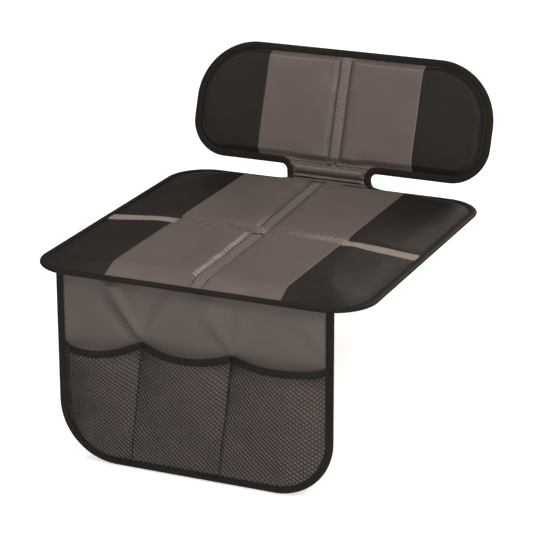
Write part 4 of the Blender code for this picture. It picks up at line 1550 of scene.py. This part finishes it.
@dataclass
class Flap:
    """The hanging flap with its net pockets.

    Args:
        corner: Radius of its lower corners.
        thickness: Thickness of its cloth.
        dividers: Where the net is sewn down between the pockets.
        mouth_sides: Drop of the pockets' mouth at the left and right side.
        mouth_divider: Its drop at the dividers.
        mouth_level: Drop of a straight mouth, from which the net's rows are counted.
        sags: How far each pocket's mouth sags.
        pocket_depth: How far a pocket stands forward.
        band_height: Height of the elastic band.
        cell_width: Width of an opening of the net.
        cell_height: Its height.
        joint: Length over which two strands are joined.
        strand: Width of a strand.
        strand_thickness: Its thickness.
        pleat: Half the width of the pleat at a divider.
        slant: How far a divider runs to the left for each metre of drop.
        ridge: Place, height and width of the broad ridge under the seat pad's edge.
        stitch_inset: Distance of the binding's stitches from its inner edge.
        yarn_share: Share of the net's flat area that its yarn covers; not used.
    """

    corner: float = 0.082
    thickness: float = 0.0016
    dividers: tuple[float, float] = (-0.071, 0.057)
    mouth_sides: tuple[float, float] = (0.096, 0.079)
    mouth_divider: float = 0.081
    mouth_level: float = 0.088
    sags: tuple[float, float, float] = (0.012, 0.010, 0.007)
    pocket_depth: float = 0.0118
    band_height: float = 0.0105
    cell_width: float = 0.0070
    cell_height: float = 0.0061
    joint: float = 0.0010
    strand: float = 0.00110
    strand_thickness: float = 0.0006
    pleat: float = 0.0016
    slant: float = 0.115
    ridge: tuple[float, float, float] = (0.024, 0.0060, 0.040)
    stitch_inset: float = 0.0019
    yarn_share: float = 0.65

    def place(self, x: float, z: float, forward: float) -> Vector:
        """Place a point of the flap: z is minus its drop."""
        return Vector((x, FLAP_FRONT_Y - forward, z))

    def distance(self, x: float, drop: float) -> float:
        """Distance from a point of the flap to its sides and lower edge."""
        side_gap = FLAP_HALF - abs(x)
        end_gap = FLAP_DROP - drop
        if side_gap < self.corner and end_gap < self.corner:
            return self.corner - math.hypot(self.corner - side_gap, self.corner - end_gap)
        return min(side_gap, end_gap)

    def outline(self, drop: float, inset: float) -> float:
        """Half width of the flap at a drop, inset from its edge."""
        radius = self.corner - inset
        gap = FLAP_DROP - drop - inset
        side = FLAP_HALF - inset
        if gap >= radius:
            return side
        return side - radius + math.sqrt(max(radius ** 2 - (radius - gap) ** 2, 0.0))

    def posts(self) -> list[tuple[float, float]]:
        """Where the band is sewn down, as (x, drop)."""
        edge = FLAP_HALF - EDGE_INSET
        left, right = self.dividers
        low = self.mouth_divider
        return [(-edge, self.mouth_sides[0]), (left, low), (right, low), (edge, self.mouth_sides[1])]

    def pocket_at(self, x: float) -> tuple[int, float]:
        """Number of the pocket at x, from the left, and how far across it x is, from 0 to 1."""
        posts = [post for post, _ in self.posts()]
        pocket = sum(x > post for post in posts[1:-1])
        start, end = posts[pocket:pocket + 2]
        return pocket, min(max((x - start) / (end - start), 0.0), 1.0)

    def mouth(self, x: float) -> float:
        """Drop of the pockets' mouth at x."""
        pocket, share = self.pocket_at(x)
        (_, start_drop), (_, end_drop) = self.posts()[pocket:pocket + 2]
        level = start_drop + (end_drop - start_drop) * share
        return level + 4.0 * self.sags[pocket] * share * (1.0 - share)

    def slip(self, drop: float) -> float:
        """How far to the left the dividers have run at a drop."""
        return self.slant * max(drop - self.mouth_divider, 0.0)

    def bulge(self, x: float, drop: float) -> float:
        """How far the net stands forward of the flap at a point."""
        x += self.slip(drop) * smooth_step((FLAP_HALF - abs(x)) / 0.06)
        _, share = self.pocket_at(x)
        across = max(1.0 - (2.0 * share - 1.0) ** 2, 0.0) ** 0.8
        below = min(max((drop - self.mouth(x)) / (FLAP_DROP - BINDING_WIDTH - self.mouth(x)), 0.0), 1.0)
        down = (1.0 - below ** 1.5) * (0.62 + 0.38 * math.cos(below * math.pi * 0.5))
        uneven = 0.0011 * wander(x, drop, 0.035, 12.0) * across
        rim = smooth_step((self.distance(x, drop) - BINDING_WIDTH) / 0.012)
        return 0.0012 + (self.pocket_depth * across * down + uneven) * rim

    def fold_lines(self) -> list[tuple[tuple[float, float], tuple[float, float], float, float]]:
        """Tension folds of the flap's cloth, as (foot, head, height, width)."""
        left, right = self.dividers
        foot = self.mouth_divider
        return [
            ((left, foot), (left - 0.052, 0.000), 0.0085, 0.0120),
            ((left, foot), (left - 0.012, 0.002), 0.0020, 0.011),
            ((left, foot), (left + 0.050, 0.006), 0.0018, 0.012),
            ((right, foot), (right - 0.044, 0.006), 0.0020, 0.012),
            ((right, foot), (right + 0.030, 0.010), 0.0016, 0.012),
            ((FLAP_HALF, 0.070), (FLAP_HALF - 0.060, 0.006), 0.0012, 0.012),
        ]

    def folds(self, x: float, drop: float) -> float:
        """How far the flap's own cloth stands forward at a point."""
        rise = 0.0
        for foot, head, height, width in self.fold_lines():
            along = Vector((head[0] - foot[0], head[1] - foot[1]))
            away = Vector((x - foot[0], drop - foot[1]))
            share = away.dot(along) / along.length_squared
            side = (away.x * along.y - away.y * along.x) / along.length
            spread = width * (0.35 + 0.9 * min(max(share, 0.0), 1.0))
            fade = smooth_step(share / 0.2) * (1.0 - smooth_step((share - 0.75) / 0.45))
            rise += height * fade * (hump(side, spread) - 0.55 * hump(side - 1.9 * spread, spread * 1.2))
        ridge_x, ridge_height, ridge_width = self.ridge
        fade = smooth_step(drop / 0.03) * (1.0 - smooth_step((drop - 0.035) / 0.04))
        rise += ridge_height * hump(x - ridge_x, ridge_width) * fade
        rise += 0.0010 * wander(x, drop * 0.6, 0.05, 15.0)
        held = smooth_step(self.distance(x, drop) / 0.02) * smooth_step(drop / 0.012)
        return rise * held * (1.0 - 0.75 * smooth_step((drop - 0.10) / 0.04))

    def cloth(self) -> bpy.types.Object:
        """Make the flap's cloth."""
        rows = steps(GAP, FLAP_DROP - EDGE_INSET, 0.0032, 0.0016, 0.02)
        columns = steps(-1.0, 1.0, 0.0160, 0.010, 0.1)
        piece = sheet_between(
            "flap_panel_cloth", rows,
            lambda drop: [column * self.outline(drop, EDGE_INSET) for column in columns],
            lambda x, drop: self.place(x, -drop, self.folds(x, drop)),
            lambda x, drop: self.place(x, -drop, self.folds(x, drop) - self.thickness),
            FLAP_CLOTH, -1.0,
        )
        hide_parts("flap_panel")
        return piece

    def fabric_run(self) -> list[tuple[float, float]]:
        """The net's run across the flap as (x, layer): it doubles back at each divider."""
        edge = FLAP_HALF - 0.004
        run = [(-edge, 0.0)]
        for divider in self.dividers:
            run += [(divider + self.pleat, 2.0), (divider - self.pleat, 1.0), (divider + self.pleat, 0.0)]
        return run + [(edge, 0.0)]

    def row_points(self, level: float, wave: float) -> list[Vector]:
        """One zigzag strand of the net.

        Args:
            level: Drop of the row below the mouth's line, at rest.
            wave: 1 or -1, which way its first peak points.

        Returns:
            Its points, left to right.
        """
        run = self.fabric_run()
        spans = [abs(after[0] - before[0]) for before, after in zip(run, run[1:])]
        total = sum(spans)
        half_cell = self.cell_width / 2
        count = int(total / half_cell)
        points = []
        for place in range(count + 1):
            middle = place * half_cell
            peak = wave if place % 2 else -wave
            for offset in (-self.joint / 2, self.joint / 2):
                reach = min(max(middle + offset, 0.0), total)
                points.append(self.net_point(run, spans, reach, level + peak * self.cell_height / 4))
        return points

    def net_point(self, run: list[tuple[float, float]], spans: list[float], reach: float,
                  level: float) -> Vector:
        """Place of a point of the net, reach along its run and level below the mouth."""
        before = 0
        while before < len(spans) - 1 and reach > spans[before]:
            reach -= spans[before]
            before += 1
        share = min(reach / spans[before], 1.0)
        x = run[before][0] + (run[before + 1][0] - run[before][0]) * share
        layer = run[before][1] + (run[before + 1][1] - run[before][1]) * share
        still = 1.0 - smooth_step(level / 0.14)
        drop = self.mouth_level + level + (self.mouth(x) - self.mouth_level) * still
        x -= self.slip(drop) * smooth_step((FLAP_HALF - abs(x)) / 0.06)
        drop += 0.0022 * wander(x, drop, 0.028, 21.0)
        x += 0.0018 * wander(x, drop, 0.030, 31.0)
        return self.place(x, -drop, self.bulge(x, drop) + 0.0008 * layer)

    def net(self) -> bpy.types.Object:
        """Make the net of zigzag strands."""
        lines = []
        row = 0
        level = 0.0035
        lowest = FLAP_DROP - 0.005
        while self.mouth_level + level < lowest:
            points = self.row_points(level, 1.0 if row % 2 else -1.0)
            inside = [point for point in points if abs(point.x) < self.outline(-point.z, 0.0045)]
            if len(inside) > 4:
                lines.append(inside)
            row += 1
            level += self.cell_height / 2
        sizes = {"Width": self.strand, "Thickness": self.strand_thickness}
        piece = grow("pocket_net_mesh", lines, strand_tree(NET_YARN), sizes, NET_YARN)
        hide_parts("pocket_net")
        return piece

    def band(self) -> bpy.types.Object:
        """Make the elastic band along the pockets' mouth, folded over the net's edge."""
        edge = FLAP_HALF - 0.004
        rings = []
        places = []
        height = self.band_height
        section = []
        for step in range(14):
            angle = 2.0 * math.pi * step / 14
            up = math.copysign(abs(math.sin(angle)) ** 0.45, math.sin(angle)) * height / 2
            out = math.copysign(abs(math.cos(angle)) ** 0.7, math.cos(angle)) * 0.0011
            section.append((up, out))
        for x in evenly(-edge, edge, 0.0016):
            level = self.mouth(x) + height / 2 - 0.001
            near = min(abs(x - divider) for divider in self.dividers)
            gather = 0.00035 * math.sin(2.0 * math.pi * x / 0.0058 + 2.0 * wander(x, 0.0, 0.02, 3.0))
            pinch = 1.0 - 0.35 * hump(near, 0.004)
            forward = self.bulge(x, level) + 0.0016 - 0.0010 * hump(near, 0.005)
            ring = []
            for up, out in section:
                stand = forward + out + (gather if out > 0 else 0.0)
                ring.append(self.place(x, -level + up * pinch, stand))
            rings.append(ring)
            places.append([(x, up + out) for up, out in section])
        piece = loft("pocket_band_tape", rings, False, places, BINDING)
        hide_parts("pocket_top_band")
        return piece

    def edge_path(self) -> Path:
        """Path of the flap's binding, down the left side, along the bottom and up the right side."""
        centre = (FLAP_HALF - self.corner, -FLAP_DROP + self.corner)
        right = arc(centre, (self.corner, self.corner), -90, 0, -1)
        right.append(((FLAP_HALF, -BINDING_THICKNESS - 2 * GAP), (-1.0, 0.0)))
        return joined(mirrored(right) + right, 0.0026)

    def seams(self, path: Path, binding: Binding) -> None:
        """Make the stitches of the flap, the band and the dividers."""
        seams = Seams("flap_stitches", thickness=0.0006)
        binding.stitches(seams, path, BINDING_WIDTH - self.stitch_inset)
        edge = FLAP_HALF - BINDING_WIDTH
        line = []
        for x in evenly(-edge, edge, SEAM_STEP):
            level = self.mouth(x) + self.band_height - 0.0022
            line.append(self.place(x, -level, self.bulge(x, level) + 0.0028))
        seams.add(line)
        for divider in self.dividers:
            for level in (0.004, 0.0025):
                tack = [(divider - 0.0022, level), (divider + 0.0022, level - 0.0012)]
                seams.add([self.place(x, -self.mouth_divider + up - 0.004, 0.0040) for x, up in tack])
            line = []
            for drop in evenly(self.mouth_divider + 0.008, FLAP_DROP - BINDING_WIDTH, SEAM_STEP):
                x = divider - self.slip(drop)
                line.append(self.place(x, -drop, self.bulge(x, drop) + 0.0014))
            seams.add(line)
        seams.build()

    def build(self) -> None:
        """Build the flap's pieces."""
        cloth = self.cloth()
        net = self.net()
        band = self.band()
        path = self.edge_path()
        binding = Binding("flap_binding", -self.thickness, 0.0011, self.place, False, nose=0.0022)
        tape = binding.build(path, BINDING)
        self.seams(path, binding)
        LOG.info("flap of %s, %s, %s and %s", cloth.name, net.name, band.name, tape.name)


# Plain cloth of the solids that show as they are


def dress_hidden_sides() -> None:
    """Give the solids of the hidden sides their backing cloth."""
    for name in ("seat_underside", "back_rear_cover", "neck_backing"):
        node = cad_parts[name]
        node.data.materials.clear()
        node.data.materials.append(BACKING.make())


# Stage, light and camera


@dataclass(frozen=True)
class Studio:
    """The plain floor, the soft light and the camera of the photograph's view.

    Args:
        azimuth: Direction of the camera in degrees, to the right of straight ahead.
        elevation: Its height in degrees.
        roll: Its turn about its own axis in degrees.
        distance: Its distance.
        aim_right: How far it looks past the origin to the right.
        aim_up: The same upwards.
        focal_share: Focal length as a share of the sensor's width.
        sensor: Width of the sensor in millimetres.
        floor: Height of the floor.
        floor_white: How white the floor is.
        floor_glow: How much of its own light the camera sees on it.
        horizon: Strength of the sky's light at the horizon and below it.
        zenith: Its strength from above.
        warmth: Colour of the lamps and of the sky.
        rear_warmth: Colour of the lamp behind the mat.
    """

    azimuth: float = 23.62
    elevation: float = 19.302
    roll: float = -0.184
    distance: float = 3.1843
    aim_right: float = 0.0022
    aim_up: float = -0.0418
    focal_share: float = 4.3897
    sensor: float = 36.0
    floor: float = -0.266
    floor_white: float = 0.92
    floor_glow: float = 0.55
    horizon: float = 0.07
    zenith: float = 0.42
    warmth: tuple[float, float, float] = (1.0, 0.97, 0.94)
    rear_warmth: tuple[float, float, float] = (1.0, 0.87, 0.77)

    def camera(self) -> None:
        """Set the camera at the photograph's view."""
        azimuth, elevation = math.radians(self.azimuth), math.radians(self.elevation)
        level = math.cos(elevation)
        back = Vector((math.sin(azimuth) * level, -math.cos(azimuth) * level, math.sin(elevation)))
        right = Vector((math.cos(azimuth), math.sin(azimuth), 0.0))
        up = back.cross(right)
        roll = math.radians(self.roll)
        turned = right * math.cos(roll) + up * math.sin(roll)
        upright = back.cross(turned)
        position = right * self.aim_right + up * self.aim_up + back * self.distance
        data = bpy.data.cameras.new("camera")
        data.sensor_width = self.sensor
        data.lens = self.focal_share * self.sensor
        camera = bpy.data.objects.new("camera", data)
        camera.matrix_world = Matrix((
            (turned.x, upright.x, back.x, position.x),
            (turned.y, upright.y, back.y, position.y),
            (turned.z, upright.z, back.z, position.z),
            (0.0, 0.0, 0.0, 1.0),
        ))
        bpy.context.scene.collection.objects.link(camera)
        bpy.context.scene.camera = camera

    def lamp(self, name: str, place: Sequence[float], size: float, power: float,
             colour: tuple[float, float, float] | None = None) -> None:
        """Add one soft square lamp that is aimed at the mat."""
        data = bpy.data.lights.new(name, "AREA")
        data.size = size
        data.energy = power
        data.color = colour or self.warmth
        lamp = bpy.data.objects.new(name, data)
        lamp.location = place
        lamp.rotation_euler = (-Vector(place)).to_track_quat("-Z", "Y").to_euler()
        bpy.context.scene.collection.objects.link(lamp)

    def lights(self) -> None:
        """Light the mat softly on all sides, in a white surround that only the camera sees."""
        self.lamp("key", (1.9, -1.7, 2.0), size=0.9, power=45.0)
        self.lamp("front", (0.6, -3.0, 0.7), size=1.2, power=28.0)
        self.lamp("rear", (0.65, 2.45, 1.25), size=0.8, power=27.0, colour=self.rear_warmth)
        self.lamp("top", (-1.0, -0.8, 2.3), size=0.9, power=22.0)
        world = bpy.data.worlds.new("surround")
        bpy.context.scene.world = world
        shader = Shader(world, "Background")
        _, _, up = shader.axes(shader.coordinates(False, "Generated"))
        sky = up.over(0.5, 0.5) * (self.zenith - self.horizon) + self.horizon
        seen = shader.node("ShaderNodeLightPath", {}, {}, "Is Camera Ray")
        shader.set_input(shader.surface, "Strength", seen * (1.0 - sky) + sky)
        shader.set_input(shader.surface, "Color", shader.mix(seen, self.warmth, (1.0, 1.0, 1.0)))

    def ground(self) -> None:
        """Lay the pale floor, which keeps the mat's shadow."""
        mesh = bmesh.new()
        bmesh.ops.create_grid(mesh, x_segments=2, y_segments=2, size=6.0)
        data = bpy.data.meshes.new("floor")
        mesh.to_mesh(data)
        mesh.free()
        data.transform(Matrix.Translation((0.0, 0.0, self.floor)))
        material = bpy.data.materials.new("floor")
        shader = Shader(material, "Principled BSDF")
        surface = shader.surface
        white = self.floor_white
        surface.inputs["Base Color"].default_value = (white, white, white, 1.0)
        surface.inputs["Roughness"].default_value = 0.9
        surface.inputs["Specular IOR Level"].default_value = 0.0
        seen = shader.node("ShaderNodeLightPath", {}, {}, "Is Camera Ray")
        surface.inputs["Emission Strength"].default_value = 1.0
        glow = shader.mix(seen, (0.0, 0.0, 0.0), (self.floor_glow,) * 3)
        shader.set_input(surface, "Emission Color", glow)
        data.materials.append(material)
        floor = bpy.data.objects.new("floor", data)
        bpy.context.scene.collection.objects.link(floor)
        floor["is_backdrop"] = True

    def build(self) -> None:
        """Set up the studio."""
        bpy.context.scene.view_settings.view_transform = "Standard"
        self.camera()
        self.lights()
        self.ground()


def main() -> None:
    """Build the mat's looks in order."""
    logging.basicConfig(level=logging.INFO, format="%(message)s")
    Studio().build()
    seat = SeatPad(
        "seat", half=SEAT_HALF, low=SEAT_LOW, high=SEAT_HIGH, low_radius=0.060, high_radius=0.060,
        grey_half=0.124, full=0.0131, neck_at_high=True, lean_low=0.006, lean_high=-0.015, crossing=True,
    )
    back = BackPad(
        "back", half=BACK_HALF, low=BACK_LOW, high=BACK_HIGH, low_radius=0.055, high_radius=0.090,
        grey_half=0.120, full=0.0115, neck_at_high=False, shoulder=0.007, end_shoulder=0.007,
        shoulder_pucker=0.0003, strip_pucker=0.0002, neck_rim=0.0100,
    )
    edge = MatEdge(seat, back)
    seat.build()
    back.build()
    Neck(seat, back, edge).build()
    edge.build()
    Flap().build()
    dress_hidden_sides()
    boxes = {"cad": CAD_BOX, "visual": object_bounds()}
    {name: [list(corner) for corner in box] for name, box in boxes.items()}


if __name__ == "__main__":
    main()
